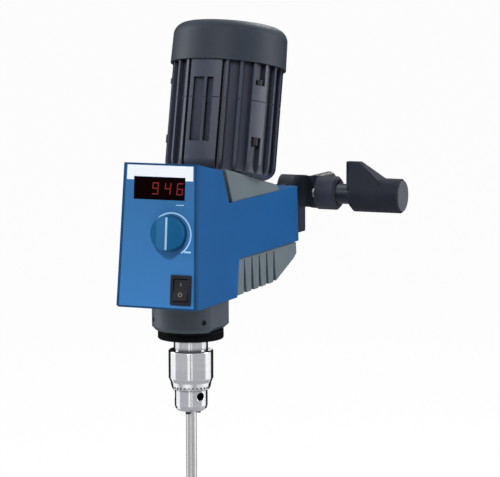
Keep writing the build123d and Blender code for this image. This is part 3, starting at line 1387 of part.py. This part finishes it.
wing_reach = hypot(WING_HALF, WING_TOP)
tangent = atan2(WING_TOP, WING_HALF) - acos(KNOB_R / wing_reach)
wing_y = KNOB_R * cos(tangent)
wing_z = KNOB_R * sin(tangent)
wing_foot = SHOULDER_R + SEAT
with BuildPart() as knob_wing:
    with BuildSketch(across(GRIP_LEFT, ROD_REACH, JAW_HEIGHT)):
        Polygon(
            (-WING_HALF, WING_TOP),
            (WING_HALF, WING_TOP),
            (wing_y, wing_z),
            (0, 0),
            (-wing_y, wing_z),
            align=None,
        )
    extrude(amount=KNOB_LEFT + WING_LENGTH - GRIP_LEFT)
    with BuildSketch(across(KNOB_LEFT, ROD_REACH, JAW_HEIGHT)):
        with Locations((0, (wing_foot + WING_TOP) / 2)):
            Rectangle(2 * WING_HALF, WING_TOP - wing_foot)
    extrude(amount=GRIP_LEFT - KNOB_LEFT + 1)
    with BuildSketch(front.offset(-ROD_REACH)):
        Polygon(
            (KNOB_LEFT + 11, JAW_HEIGHT + WING_TOP),
            (KNOB_LEFT + WING_LENGTH + 1, JAW_HEIGHT + WING_TOP),
            (KNOB_LEFT + WING_LENGTH + 1, JAW_HEIGHT),
            (KNOB_LEFT + WING_LENGTH, JAW_HEIGHT + KNOB_R - 1),
            align=None,
        )
    extrude(amount=KNOB_R, both=True, mode=Mode.SUBTRACT)

with BuildPart() as rod_knob:
    with BuildSketch(across(GRIP_LEFT, ROD_REACH, JAW_HEIGHT)):
        Circle(KNOB_R)
    extrude(amount=KNOB_RIGHT - GRIP_LEFT)
    chamfer(rod_knob.edges().group_by(Axis.X)[0], length=3.5)
    chamfer(rod_knob.edges().group_by(Axis.X)[-1], length=1.0)
    add(knob_wing.part)
    with BuildSketch(across(KNOB_LEFT - 1, ROD_REACH, JAW_HEIGHT)):
        Circle(SCREW_R + SEAT)
    extrude(amount=21 + SEAT, mode=Mode.SUBTRACT)
rod_knob.part.label = "rod_knob"
export_step(rod_knob.part, "parts/rod_knob.step")

with BuildPart() as knob_end_cap:
    with BuildSketch(across(KNOB_RIGHT, ROD_REACH, JAW_HEIGHT)):
        Circle(KNOB_R - 1.6)
    extrude(amount=0.8)
knob_end_cap.part.label = "knob_end_cap"
export_step(knob_end_cap.part, "parts/knob_end_cap.step")

# ---- Arm screw, from below --------------------------------------------------------------------
ARM_PAD_LENGTH = 2.0
ARM_KNOB_TOP = 132.0
ARM_KNOB_HEIGHT = 20.0
ARM_KNOB_R = 11.0
arm_low = JAW_HEIGHT - ARM_D / 2

with BuildPart() as arm_pad:
    with BuildSketch(level(arm_low - RUN, ARM_COLLAR_Y)):
        Circle(SCREW_R - 0.2)
    extrude(amount=-ARM_PAD_LENGTH)
arm_pad.part.label = "arm_pad"
export_step(arm_pad.part, "parts/arm_pad.step")

with BuildPart() as arm_screw:
    with BuildSketch(level(arm_low - RUN - ARM_PAD_LENGTH, ARM_COLLAR_Y)):
        Circle(SCREW_R)
    extrude(amount=ARM_KNOB_TOP - 12 - arm_low + RUN + ARM_PAD_LENGTH)
arm_screw.part.label = "arm_screw"
export_step(arm_screw.part, "parts/arm_screw.step")

LOBE_COUNT = 6
with BuildPart() as arm_knob:
    with BuildSketch(level(ARM_KNOB_TOP, ARM_COLLAR_Y)):
        Circle(ARM_KNOB_R)
        with PolarLocations(ARM_KNOB_R + 2.5, LOBE_COUNT):
            Circle(4.2, mode=Mode.SUBTRACT)
    extrude(amount=-ARM_KNOB_HEIGHT)
    chamfer(arm_knob.faces().sort_by(Axis.Z)[0].edges(), length=1.0)
    with BuildSketch(level(ARM_KNOB_TOP, ARM_COLLAR_Y)):
        Circle(SCREW_R + SEAT)
    extrude(amount=-12 - SEAT, mode=Mode.SUBTRACT)
arm_knob.part.label = "arm_knob"
export_step(arm_knob.part, "parts/arm_knob.step")
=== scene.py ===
import json
import math

import bmesh
import bpy
from mathutils import Matrix, Vector


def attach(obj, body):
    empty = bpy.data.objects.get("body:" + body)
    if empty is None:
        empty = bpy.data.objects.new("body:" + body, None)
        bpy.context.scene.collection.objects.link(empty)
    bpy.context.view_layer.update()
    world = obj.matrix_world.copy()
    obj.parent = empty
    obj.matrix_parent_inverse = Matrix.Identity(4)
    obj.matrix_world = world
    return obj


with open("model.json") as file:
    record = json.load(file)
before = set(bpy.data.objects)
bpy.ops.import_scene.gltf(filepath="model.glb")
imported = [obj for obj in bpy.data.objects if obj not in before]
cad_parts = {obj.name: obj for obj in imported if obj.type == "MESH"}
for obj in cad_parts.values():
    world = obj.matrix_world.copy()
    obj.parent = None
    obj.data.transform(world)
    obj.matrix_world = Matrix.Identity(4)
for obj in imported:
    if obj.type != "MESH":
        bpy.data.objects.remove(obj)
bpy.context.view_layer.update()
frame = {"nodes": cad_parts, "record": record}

scene = bpy.context.scene
MM = 0.001


def rgb(red, green, blue):
    """Linear colour from 8-bit display values."""
    out = []
    for value in (red, green, blue):
        part = value / 255
        out.append(part / 12.92 if part <= 0.04045 else ((part + 0.055) / 1.055) ** 2.4)
    return (*out, 1.0)


# ---- Camera -------------------------------------------------------------------------------------
# Place, direction and roll were solved together with the object's size from the photograph.
CAMERA_PLACE = (0.74788, -1.87372, 0.21162)
CAMERA_FORWARD = (-0.38773, 0.91361, -0.12242)
CAMERA_ROLL = math.radians(-0.17)
CAMERA_LENS = 182.63
SENSOR_WIDTH = 36.0

camera_data = bpy.data.cameras.new("camera")
camera_data.sensor_width = SENSOR_WIDTH
camera_data.lens = CAMERA_LENS
camera_data.clip_start = 0.1
camera_data.clip_end = 120.0
camera = bpy.data.objects.new("camera", camera_data)
scene.collection.objects.link(camera)
scene.camera = camera
forward = Vector(CAMERA_FORWARD).normalized()
level_right = forward.cross(Vector((0, 0, 1))).normalized()
level_up = level_right.cross(forward)
right = level_right * math.cos(CAMERA_ROLL) + level_up * math.sin(CAMERA_ROLL)
up = level_up * math.cos(CAMERA_ROLL) - level_right * math.sin(CAMERA_ROLL)
facing = Matrix((right, up, -forward)).transposed()
camera.matrix_world = Matrix.Translation(CAMERA_PLACE) @ facing.to_4x4()

# ---- White surround and floor -------------------------------------------------------------------
WORLD_LIGHT = 0.22  # what the world gives as light
WORLD_WHITE = 1.0  # what the camera and reflections see of it
FLOOR_Z = -0.445
FLOOR_RADIUS = 40.0
FLOOR_GREY = (0.82, 0.82, 0.82, 1)
FLOOR_WHITE_SHARE = 0.97  # the rest of the floor is matt and keeps the shadow
WHITE = (1, 1, 1, 1)

scene.view_settings.view_transform = "Standard"


def link(tree, source, target):
    tree.links.new(source, target)


def seen_directly(tree):
    """1 where a ray comes from the camera, a reflection or a transmission, for a white surround."""
    path = tree.nodes.new("ShaderNodeLightPath")
    first = tree.nodes.new("ShaderNodeMath")
    first.operation = "MAXIMUM"
    link(tree, path.outputs["Is Camera Ray"], first.inputs[0])
    link(tree, path.outputs["Is Glossy Ray"], first.inputs[1])
    both = tree.nodes.new("ShaderNodeMath")
    both.operation = "MAXIMUM"
    link(tree, first.outputs[0], both.inputs[0])
    link(tree, path.outputs["Is Transmission Ray"], both.inputs[1])
    return both.outputs[0]


def either_shader(tree, factor, low, high, output):
    """Mixes two shaders by a factor and leads them to the output."""
    blend = tree.nodes.new("ShaderNodeMixShader")
    out = tree.nodes.new(output)
    link(tree, factor, blend.inputs[0])
    link(tree, low.outputs[0], blend.inputs[1])
    link(tree, high.outputs[0], blend.inputs[2])
    link(tree, blend.outputs[0], out.inputs[0])


world = bpy.data.worlds.new("world")
scene.world = world
world.use_nodes = True
sky = world.node_tree
sky.nodes.clear()
dim = sky.nodes.new("ShaderNodeBackground")
dim.inputs["Color"].default_value = WHITE
dim.inputs["Strength"].default_value = WORLD_LIGHT
white = sky.nodes.new("ShaderNodeBackground")
white.inputs["Color"].default_value = WHITE
white.inputs["Strength"].default_value = WORLD_WHITE
either_shader(sky, seen_directly(sky), dim, white, "ShaderNodeOutputWorld")

floor_mesh = bpy.data.meshes.new("floor")
shape = bmesh.new()
bmesh.ops.create_circle(shape, cap_ends=True, segments=96, radius=FLOOR_RADIUS)
shape.to_mesh(floor_mesh)
shape.free()
floor = bpy.data.objects.new("floor", floor_mesh)
floor.location = (0, 0, FLOOR_Z)
scene.collection.objects.link(floor)
floor_paint = bpy.data.materials.new("floor")
floor_paint.use_nodes = True
tree = floor_paint.node_tree
tree.nodes.clear()
matt = tree.nodes.new("ShaderNodeBsdfDiffuse")
matt.inputs["Color"].default_value = FLOOR_GREY
glow = tree.nodes.new("ShaderNodeEmission")
glow.inputs["Color"].default_value = WHITE
glow.inputs["Strength"].default_value = 1.0
share = tree.nodes.new("ShaderNodeMath")
share.operation = "MULTIPLY"
share.inputs[1].default_value = FLOOR_WHITE_SHARE
link(tree, seen_directly(tree), share.inputs[0])
either_shader(tree, share.outputs[0], matt, glow, "ShaderNodeOutputMaterial")
floor_mesh.materials.append(floor_paint)

# ---- Lamps --------------------------------------------------------------------------------------
LAMP_AIM = (-0.02, -0.12, 0.0)


def lamp(name, place, width, height, power):
    """Soft area lamp at a place, in metres, turned to the middle of the object."""
    data = bpy.data.lights.new(name, "AREA")
    data.shape = "RECTANGLE"
    data.size = width
    data.size_y = height
    data.energy = power
    made = bpy.data.objects.new(name, data)
    scene.collection.objects.link(made)
    made.location = place
    made.rotation_mode = "QUATERNION"
    made.rotation_quaternion = (Vector(LAMP_AIM) - Vector(place)).to_track_quat("-Z", "Y")


# The two side lamps brighten the flanks; the front one stands high for the shadow under the knob.
lamp("key", (-1.6, -0.4, 0.5), 0.7, 1.3, 23)
lamp("right", (1.48, 0.43, 0.4), 0.7, 1.3, 24)
lamp("front", (0.15, -1.75, 1.15), 0.3, 0.3, 26)
lamp("top", (-0.1, 0.1, 1.6), 1.0, 1.0, 4)
lamp("back", (0.1, 1.3, 1.25), 0.5, 0.5, 20)

# ---- Cards for the reflections in polished metal ------------------------------------------------
SPINDLE = (-0.02, -0.1775)
CARD_DISTANCE = 0.55
CARD_LOW = -0.43
CHUCK_CARD_HIGH = -0.165  # cards for the chuck alone end below the gear flange
TALL_CARD_HIGH = 0.43
FLOOR_CARD_Z = FLOOR_Z + 0.02
CARD_BLUE = 1.03


def card(name, grey):
    """Square of one metre that only reflections see, so that polished metal shows its shape."""
    mesh = bpy.data.meshes.new(name)
    shape = bmesh.new()
    bmesh.ops.create_grid(shape, x_segments=1, y_segments=1, size=0.5)
    shape.to_mesh(mesh)
    shape.free()
    paint = bpy.data.materials.new(name)
    paint.use_nodes = True
    tree = paint.node_tree
    tree.nodes.clear()
    tone = tree.nodes.new("ShaderNodeEmission")
    tone.inputs["Color"].default_value = (grey, grey, grey * CARD_BLUE, 1)
    end = tree.nodes.new("ShaderNodeOutputMaterial")
    link(tree, tone.outputs[0], end.inputs[0])
    mesh.materials.append(paint)
    made = bpy.data.objects.new(name, mesh)
    scene.collection.objects.link(made)
    made.visible_camera = False
    made.visible_diffuse = False
    made.visible_shadow = False
    made.visible_transmission = False
    return made


def upright_card(name, angle, width, grey, high=CHUCK_CARD_HIGH):
    """Card round the spindle, at an angle in degrees from the camera's direction, facing inwards."""
    made = card(name, grey)
    heading = math.atan2(-forward.y, -forward.x) + math.radians(angle)
    outwards = Vector((math.cos(heading), math.sin(heading), 0))
    made.location = Vector((*SPINDLE, (CARD_LOW + high) / 2)) + outwards * CARD_DISTANCE
    made.scale = (width, high - CARD_LOW, 1)
    made.rotation_mode = "QUATERNION"
    made.rotation_quaternion = (-outwards).to_track_quat("Z", "Y")


def floor_card(name, width, grey):
    """Level card just above the floor, under the spindle."""
    made = card(name, grey)
    made.location = (*SPINDLE, FLOOR_CARD_Z)
    made.scale = (width, width, 1)


upright_card("card_right", 151, 0.58, 0.015, high=TALL_CARD_HIGH)
upright_card("card_left", -152, 0.56, 0.015, high=TALL_CARD_HIGH)
upright_card("card_line", 0, 0.045, 0.1)
upright_card("card_wide_right", 45, 0.8, 0.45)
upright_card("card_wide_left", -50, 0.74, 0.47)
floor_card("card_floor", 0.9, 0.42)

# ---- Materials ----------------------------------------------------------------------------------
BROAD_SHARE, FINE_SHARE = 0.65, 0.35
BROAD_DETAIL, FINE_DETAIL = 4.0, 2.0
NOISE_ROUGHNESS = 0.55
AO_SAMPLES = 8
BEVEL_SAMPLES = 4


def noise(tree, source, scale, detail):
    made = tree.nodes.new("ShaderNodeTexNoise")
    made.inputs["Scale"].default_value = scale
    made.inputs["Detail"].default_value = detail
    made.inputs["Roughness"].default_value = NOISE_ROUGHNESS
    link(tree, source, made.inputs["Vector"])
    return made.outputs["Fac"]


def spread(tree, source, low, high, from_low=0.3, from_high=0.7):
    """Maps a socket's range to another range."""
    made = tree.nodes.new("ShaderNodeMapRange")
    made.inputs["From Min"].default_value = from_low
    made.inputs["From Max"].default_value = from_high
    made.inputs["To Min"].default_value = low
    made.inputs["To Max"].default_value = high
    link(tree, source, made.inputs["Value"])
    return made.outputs["Result"]


def two_tone(tree, factor, low, high):
    """Mixes two colours, each given as a value or as a socket."""
    made = tree.nodes.new("ShaderNodeMix")
    made.data_type = "RGBA"
    for socket, value in ((6, low), (7, high)):
        if hasattr(value, "is_linked"):
            link(tree, value, made.inputs[socket])
        else:
            made.inputs[socket].default_value = value
    link(tree, factor, made.inputs[0])
    return made.outputs[2]


def surface(
    name,
    low,
    high,
    rough,
    metallic=0.0,
    patch=45.0,
    grain=1400.0,
    relief=0.05,
    depth=0.0002,
    edge=0.0004,
    stretch=(1, 1, 1),
    specular=0.5,
    ior=1.33,
    painted_hollow_shade=None,
    painted_light_fade=None,
    glow=None,
    glow_power=0.0,
):
    """A finish of two close tones, with its grain as bump and uneven gloss; edges are eased a little.

    painted_hollow_shade paints shade into hollows: reach in metres, openness at which it is full,
    openness at which it ends, its tone, and whether only the piece itself counts. painted_light_fade
    paints light and shade as a lead from another tone to the finish along an axis of the object:
    axis, start, stop, tone.
    """
    made = bpy.data.materials.new(name)
    made.use_nodes = True
    tree = made.node_tree
    tree.nodes.clear()
    skin = tree.nodes.new("ShaderNodeBsdfPrincipled")
    out = tree.nodes.new("ShaderNodeOutputMaterial")
    link(tree, skin.outputs[0], out.inputs[0])
    skin.inputs["Metallic"].default_value = metallic
    skin.inputs["Specular IOR Level"].default_value = specular
    skin.inputs["IOR"].default_value = ior

    place = tree.nodes.new("ShaderNodeTexCoord")
    mapping = tree.nodes.new("ShaderNodeMapping")
    mapping.inputs["Scale"].default_value = stretch
    link(tree, place.outputs["Object"], mapping.inputs["Vector"])
    broad = noise(tree, mapping.outputs["Vector"], patch, BROAD_DETAIL)
    fine = noise(tree, mapping.outputs["Vector"], grain, FINE_DETAIL)
    both = tree.nodes.new("ShaderNodeMath")
    both.operation = "MULTIPLY_ADD"
    both.inputs[1].default_value = FINE_SHARE
    link(tree, fine, both.inputs[0])
    scaled = tree.nodes.new("ShaderNodeMath")
    scaled.operation = "MULTIPLY"
    scaled.inputs[1].default_value = BROAD_SHARE
    link(tree, broad, scaled.inputs[0])
    link(tree, scaled.outputs[0], both.inputs[2])

    tone = two_tone(tree, spread(tree, both.outputs[0], 0, 1), rgb(*low), rgb(*high))
    # Painted shade: ambient occlusion darkens the colour in hollows and where parts meet.
    if painted_hollow_shade:
        reach, shut, open_, shade, only_local = painted_hollow_shade
        hollow = tree.nodes.new("ShaderNodeAmbientOcclusion")
        hollow.samples = AO_SAMPLES
        hollow.only_local = only_local
        hollow.inputs["Distance"].default_value = reach
        openness = spread(tree, hollow.outputs["AO"], 0, 1, shut, open_)
        tone = two_tone(tree, openness, rgb(*shade), tone)
    # Painted light and shade: the colour leads to another tone along an axis of the object.
    if painted_light_fade:
        axis, start, stop, other = painted_light_fade
        split = tree.nodes.new("ShaderNodeSeparateXYZ")
        link(tree, place.outputs["Object"], split.inputs[0])
        along = spread(tree, split.outputs[axis], 0, 1, start, stop)
        tone = two_tone(tree, along, rgb(*other), tone)
    link(tree, tone, skin.inputs["Base Color"])
    link(tree, spread(tree, both.outputs[0], *rough), skin.inputs["Roughness"])

    bump = tree.nodes.new("ShaderNodeBump")
    bump.inputs["Strength"].default_value = relief
    bump.inputs["Distance"].default_value = depth
    link(tree, fine, bump.inputs["Height"])
    if edge:
        eased = tree.nodes.new("ShaderNodeBevel")
        eased.samples = BEVEL_SAMPLES
        eased.inputs["Radius"].default_value = edge
        link(tree, eased.outputs["Normal"], bump.inputs["Normal"])
    link(tree, bump.outputs["Normal"], skin.inputs["Normal"])
    if glow:
        skin.inputs["Emission Color"].default_value = rgb(*glow)
        skin.inputs["Emission Strength"].default_value = glow_power
    return made


Y, Z = 1, 2

# One finish for each material slot of the record.
SLOT_FINISHES = {
    "housing_paint": dict(
        low=(14, 70, 121), high=(18, 77, 130), rough=(0.42, 0.52), grain=900, relief=0.12,
        specular=0.3, ior=1.25,
    ),
    "panel_border": dict(
        low=(13, 60, 102), high=(18, 68, 113), rough=(0.4, 0.5), grain=900, relief=0.1,
        specular=0.3, ior=1.25,
    ),
    # Painted light: the foil grows lighter towards the bottom.
    "panel_foil": dict(
        low=(45, 96, 144), high=(51, 104, 155), rough=(0.42, 0.5), patch=25, grain=4000, relief=0.1,
        depth=0.0001, specular=0.3, ior=1.25, painted_light_fade=(Z, -0.072, 0.022, (56, 114, 173)),
    ),
    "grey_plastic": dict(
        low=(80, 91, 97), high=(92, 102, 109), rough=(0.5, 0.6), grain=2600, relief=0.25,
        specular=0.3,
    ),
    "black_rubber": dict(
        low=(22, 24, 28), high=(32, 34, 38), rough=(0.6, 0.75), grain=2400, relief=0.3,
    ),
    "display_window": dict(
        low=(8, 1, 2), high=(12, 2, 3), rough=(0.16, 0.22), grain=3000, relief=0.02,
        specular=0.08, ior=1.15,
    ),
    "black_plastic": dict(
        low=(19, 20, 24), high=(27, 28, 32), rough=(0.4, 0.52), grain=2600, relief=0.22,
        specular=0.3,
    ),
    "board": dict(
        low=(20, 92, 52), high=(34, 120, 70), rough=(0.35, 0.5), grain=1800, relief=0.2,
    ),
    "flange_grey": dict(
        low=(55, 62, 71), high=(65, 72, 81), rough=(0.36, 0.46), grain=1600, relief=0.2,
        specular=0.4, ior=1.42,
    ),
    # Painted shade darkens the motor's grooves between the fins.
    "motor_grey": dict(
        low=(46, 50, 63), high=(56, 60, 74), rough=(0.34, 0.46), grain=1500, relief=0.18,
        specular=0.4, painted_hollow_shade=(0.007, 0.5, 0.9, (27, 30, 42), True),
    ),
    "cap_grey": dict(
        low=(35, 41, 51), high=(43, 49, 59), rough=(0.44, 0.56), grain=2600, relief=0.28,
        specular=0.34, ior=1.3,
    ),
    "machined_steel": dict(
        low=(150, 152, 154), high=(182, 184, 186), rough=(0.26, 0.42), metallic=1.0, grain=2400,
        relief=0.12, stretch=(1, 1, 6),
    ),
    "bronze": dict(
        low=(150, 112, 62), high=(178, 138, 82), rough=(0.38, 0.52), metallic=1.0, grain=3000,
        relief=0.2,
    ),
    "copper": dict(
        low=(150, 76, 40), high=(186, 104, 58), rough=(0.3, 0.42), metallic=1.0, grain=2200,
        relief=0.5, stretch=(0.3, 0.3, 1),
    ),
    "wheel_hub": dict(
        low=(176, 178, 180), high=(202, 204, 206), rough=(0.28, 0.4), metallic=1.0, grain=2400,
        relief=0.1, stretch=(0.2, 0.2, 4),
    ),
    "tyre_rubber": dict(
        low=(30, 30, 32), high=(44, 44, 46), rough=(0.6, 0.78), grain=2400, relief=0.3,
    ),
    "stainless": dict(
        low=(202, 202, 202), high=(222, 222, 222), rough=(0.2, 0.3), metallic=1.0, grain=2600,
        relief=0.1, stretch=(1, 1, 0.02),
    ),
    # Painted shade darkens the chuck's key holes and the corners where parts meet.
    "chuck_chrome": dict(
        low=(232, 234, 238), high=(244, 245, 248), rough=(0.09, 0.16), metallic=1.0, patch=90,
        grain=2600, relief=0.02, stretch=(0.12, 0.12, 2),
        painted_hollow_shade=(0.006, 0.5, 0.88, (20, 21, 24), False),
    ),
    "boss_black": dict(
        low=(38, 41, 51), high=(48, 51, 62), rough=(0.4, 0.52), grain=1300, relief=0.25,
        specular=0.3,
    ),
    # Painted shade darkens the knob's wall near the panel.
    "knob_blue": dict(
        low=(15, 76, 118), high=(21, 86, 130), rough=(0.4, 0.5), grain=2600, relief=0.1,
        specular=0.25, ior=1.25, painted_hollow_shade=(0.02, 0.5, 0.8, (6, 36, 66), False),
    ),
    "white_mark": dict(
        low=(140, 176, 208), high=(152, 186, 216), rough=(0.4, 0.5), grain=2600, relief=0.08,
    ),
    "end_disc": dict(
        low=(64, 68, 74), high=(78, 82, 88), rough=(0.42, 0.54), grain=2400, relief=0.2,
    ),
}

# Finishes of single pieces that differ from their slot's.
knob_black = surface(
    "knob_black", (27, 30, 39), (36, 39, 48), (0.44, 0.56), grain=2600, relief=0.22,
    specular=0.25, ior=1.25,
)
ring_black = surface(
    "ring_black", (11, 13, 15), (17, 19, 21), (0.36, 0.46), grain=2600, relief=0.1,
    specular=0.06, ior=1.2,
)
burnished = surface(
    "burnished", (58, 62, 70), (74, 78, 86), (0.28, 0.4), metallic=1.0, grain=2400,
    relief=0.12, stretch=(6, 1, 1),
)
screw_black = surface(
    "screw_black", (27, 29, 35), (36, 38, 44), (0.44, 0.56), grain=2400, relief=0.2, specular=0.3,
)
# Painted shade and painted dark reflection: the arm's front end, between the housing and the collar,
# is painted dark.
arm_steel = surface(
    "arm_steel", (190, 190, 188), (212, 212, 210), (0.2, 0.3), metallic=1.0, grain=2600,
    relief=0.1, stretch=(1, 0.02, 1), painted_light_fade=(Y, 0.01, 0.03, (58, 61, 68)),
)
OWN_FINISHES = {
    "extension_arm": arm_steel,
    "rod_screw": burnished,
    "tie_screws": screw_black,
    "rod_knob": knob_black,
    "arm_knob": knob_black,
    "range_ring": ring_black,
    "chuck_jaw_1": burnished,
    "chuck_jaw_2": burnished,
    "chuck_jaw_3": burnished,
}

slot_finishes = {name: surface(name, **look) for name, look in SLOT_FINISHES.items()}
for part in frame["record"]["subparts"]:
    piece = frame["nodes"][part["node"]]
    paint = OWN_FINISHES.get(part["node"], slot_finishes[part["material_slot"]])
    if not piece.material_slots:
        piece.data.materials.append(paint)
    for material_slot in piece.material_slots:
        material_slot.material = paint

# ---- Panel print and display --------------------------------------------------------------------
# Lengths in mm, from the middle of the panel's lower edge.
PANEL_TILT = math.radians(5.2)
PANEL_ORIGIN = Vector((-20.0, -238.1, -62.1)) * MM
PANEL_X = Vector((1, 0, 0))
PANEL_UP = Vector((0, math.sin(PANEL_TILT), math.cos(PANEL_TILT)))
PANEL_OUT = Vector((0, -math.cos(PANEL_TILT), math.sin(PANEL_TILT)))


def on_panel(x, height, lift):
    """A point of the front panel, lifted off its face."""
    return PANEL_ORIGIN + (PANEL_X * x + PANEL_UP * height + PANEL_OUT * lift) * MM


def plate(name, outlines, lift, thick, body, paint, place=on_panel):
    """Thin raised print: each outline becomes a flat slab on the panel."""
    shape = bmesh.new()
    for outline in outlines:
        face = shape.faces.new([shape.verts.new(place(x, h, lift)) for x, h in outline])
        raised = bmesh.ops.extrude_face_region(shape, geom=[face])
        moved = [v for v in raised["geom"] if isinstance(v, bmesh.types.BMVert)]
        bmesh.ops.translate(shape, verts=moved, vec=(place(0, 0, lift + thick) - place(0, 0, lift)))
    bmesh.ops.recalc_face_normals(shape, faces=shape.faces)
    mesh = bpy.data.meshes.new(name)
    shape.to_mesh(mesh)
    shape.free()
    mesh.materials.append(paint)
    made = bpy.data.objects.new(name, mesh)
    scene.collection.objects.link(made)
    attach(made, body)


def arc_band(cx, cy, radius, width, start, stop, steps=48):
    """Quads along an arc, angles in degrees from +X, counter-clockwise."""
    inner, outer = radius - width / 2, radius + width / 2
    quads = []
    for step in range(steps):
        a = math.radians(start + (stop - start) * step / steps)
        b = math.radians(start + (stop - start) * (step + 1) / steps)
        corners = ((inner, a), (inner, b), (outer, b), (outer, a))
        quads.append([(cx + r * math.cos(t), cy + r * math.sin(t)) for r, t in corners])
    return quads


def bar(x0, x1, y0, y1, slant=0.0):
    """A rectangle that leans by slant."""
    return [
        (x0 + slant * y0, y0),
        (x1 + slant * y0, y0),
        (x1 + slant * y1, y1),
        (x0 + slant * y1, y1),
    ]


PRINT_SUNK, PRINT_THICK = -0.02, 0.04
KNOB_X, KNOB_UP = 10.3, 54.3
SCALE_RADIUS, SCALE_WIDTH, SCALE_FROM, SCALE_TO = 15.4, 1.1, -58, 150
SCALE_DASH = bar(21.0, 26.2, 41.4, 42.6)
UNIT_DASH = bar(13.3, 19.4, 75.1, 75.7)
# The band reaches down beside the display window at both ends.
BAND_HALF_FOOT, BAND_HALF_TOP = 26.2, 26.0
BAND_FOOT, BAND_STEP, BAND_TOP = 92.8, 95.2, 103.4
WINDOW_LEFT, WINDOW_RIGHT = -20.6, 20.2
LABEL_BAND = [
    [
        (-BAND_HALF_FOOT, BAND_FOOT),
        (WINDOW_LEFT, BAND_FOOT),
        (WINDOW_LEFT, BAND_TOP),
        (-BAND_HALF_TOP, BAND_TOP),
    ],
    bar(WINDOW_LEFT, WINDOW_RIGHT, BAND_STEP, BAND_TOP),
    [
        (WINDOW_RIGHT, BAND_FOOT),
        (BAND_HALF_FOOT, BAND_FOOT),
        (BAND_HALF_TOP, BAND_TOP),
        (WINDOW_RIGHT, BAND_TOP),
    ],
]

print_blue = surface(
    "print_blue", (148, 190, 228), (160, 200, 236), (0.36, 0.44), grain=4000, relief=0.05, edge=0,
)
label_white = surface(
    "label_white", (214, 219, 225), (224, 229, 234), (0.36, 0.44), grain=4000, relief=0.05, edge=0,
)
scale_arc = arc_band(KNOB_X, KNOB_UP, SCALE_RADIUS, SCALE_WIDTH, SCALE_FROM, SCALE_TO)
for name, outlines, paint in (
    ("scale_print", scale_arc, print_blue),
    ("scale_dash", [SCALE_DASH], print_blue),
    ("unit_dash", [UNIT_DASH], print_blue),
    ("label_band", LABEL_BAND, label_white),
):
    plate(name, outlines, PRINT_SUNK, PRINT_THICK, "drive_unit", paint)

SEGMENTS = {"4": "bcfg", "6": "acdefg", "9": "abcdfg"}
DIGIT_W, DIGIT_H, STROKE, SLANT = 5.0, 8.7, 0.78, 0.08
SEGMENT_GAP = 0.25
SPEED = (("9", -6.2), ("4", 3.6), ("6", 13.2))  # each digit, and where it starts on the panel
DIGITS_UP = 82.5
DIGIT_THICK = 0.03


def digit(code, x, y):
    """Seven-segment digit with its lower left corner at x, y."""
    half = DIGIT_H / 2
    level = (SEGMENT_GAP, DIGIT_W - SEGMENT_GAP)
    upper = (half + SEGMENT_GAP, DIGIT_H - SEGMENT_GAP)
    lower = (SEGMENT_GAP, half - SEGMENT_GAP)
    boxes = {
        "a": (*level, DIGIT_H - STROKE, DIGIT_H),
        "d": (*level, 0, STROKE),
        "g": (*level, half - STROKE / 2, half + STROKE / 2),
        "f": (0, STROKE, *upper),
        "e": (0, STROKE, *lower),
        "b": (DIGIT_W - STROKE, DIGIT_W, *upper),
        "c": (DIGIT_W - STROKE, DIGIT_W, *lower),
    }
    return [[(x + px, y + py) for px, py in bar(*boxes[key], SLANT)] for key in SEGMENTS[code]]


glow_red = surface(
    "glow_red", (86, 6, 8), (102, 9, 10), (0.4, 0.5), grain=3000, relief=0.02, edge=0,
    glow=(200, 22, 26), glow_power=0.11,
)
digits = [stroke for code, x in SPEED for stroke in digit(code, x, DIGITS_UP)]
plate("display_digits", digits, 0.0, DIGIT_THICK, "drive_unit", glow_red)

ROCKER_X, ROCKER_UP = 19.4, 14.5
ROCKER_HALF, ROCKER_RISE, ROCKER_FACE = 7.75, 0.952, 1.0
ROCKER_DIP = 0.4  # how far the face's middle lies below a straight line between its ends


def on_rocker(x, height, lift):
    """A point on the rocker's face, which rises to its lower end and falls to its upper end."""
    slope = (ROCKER_RISE + ROCKER_DIP) if height < 0 else (ROCKER_DIP - ROCKER_RISE)
    face = ROCKER_FACE + slope * abs(height) / ROCKER_HALF
    return on_panel(ROCKER_X + x, ROCKER_UP + height, face + lift)


ON_MARK = [bar(-0.25, 0.25, 3.0, 5.4)]
OFF_MARK = arc_band(0.0, -3.2, 1.35, 0.5, 0, 360, 32)
mark_grey = surface(
    "mark_grey", (102, 104, 108), (114, 116, 120), (0.4, 0.5), grain=4000, relief=0.05, edge=0,
)
plate(
    "switch_marks", ON_MARK + OFF_MARK, 0.0, PRINT_THICK, "power_rocker", mark_grey,
    place=on_rocker,
)
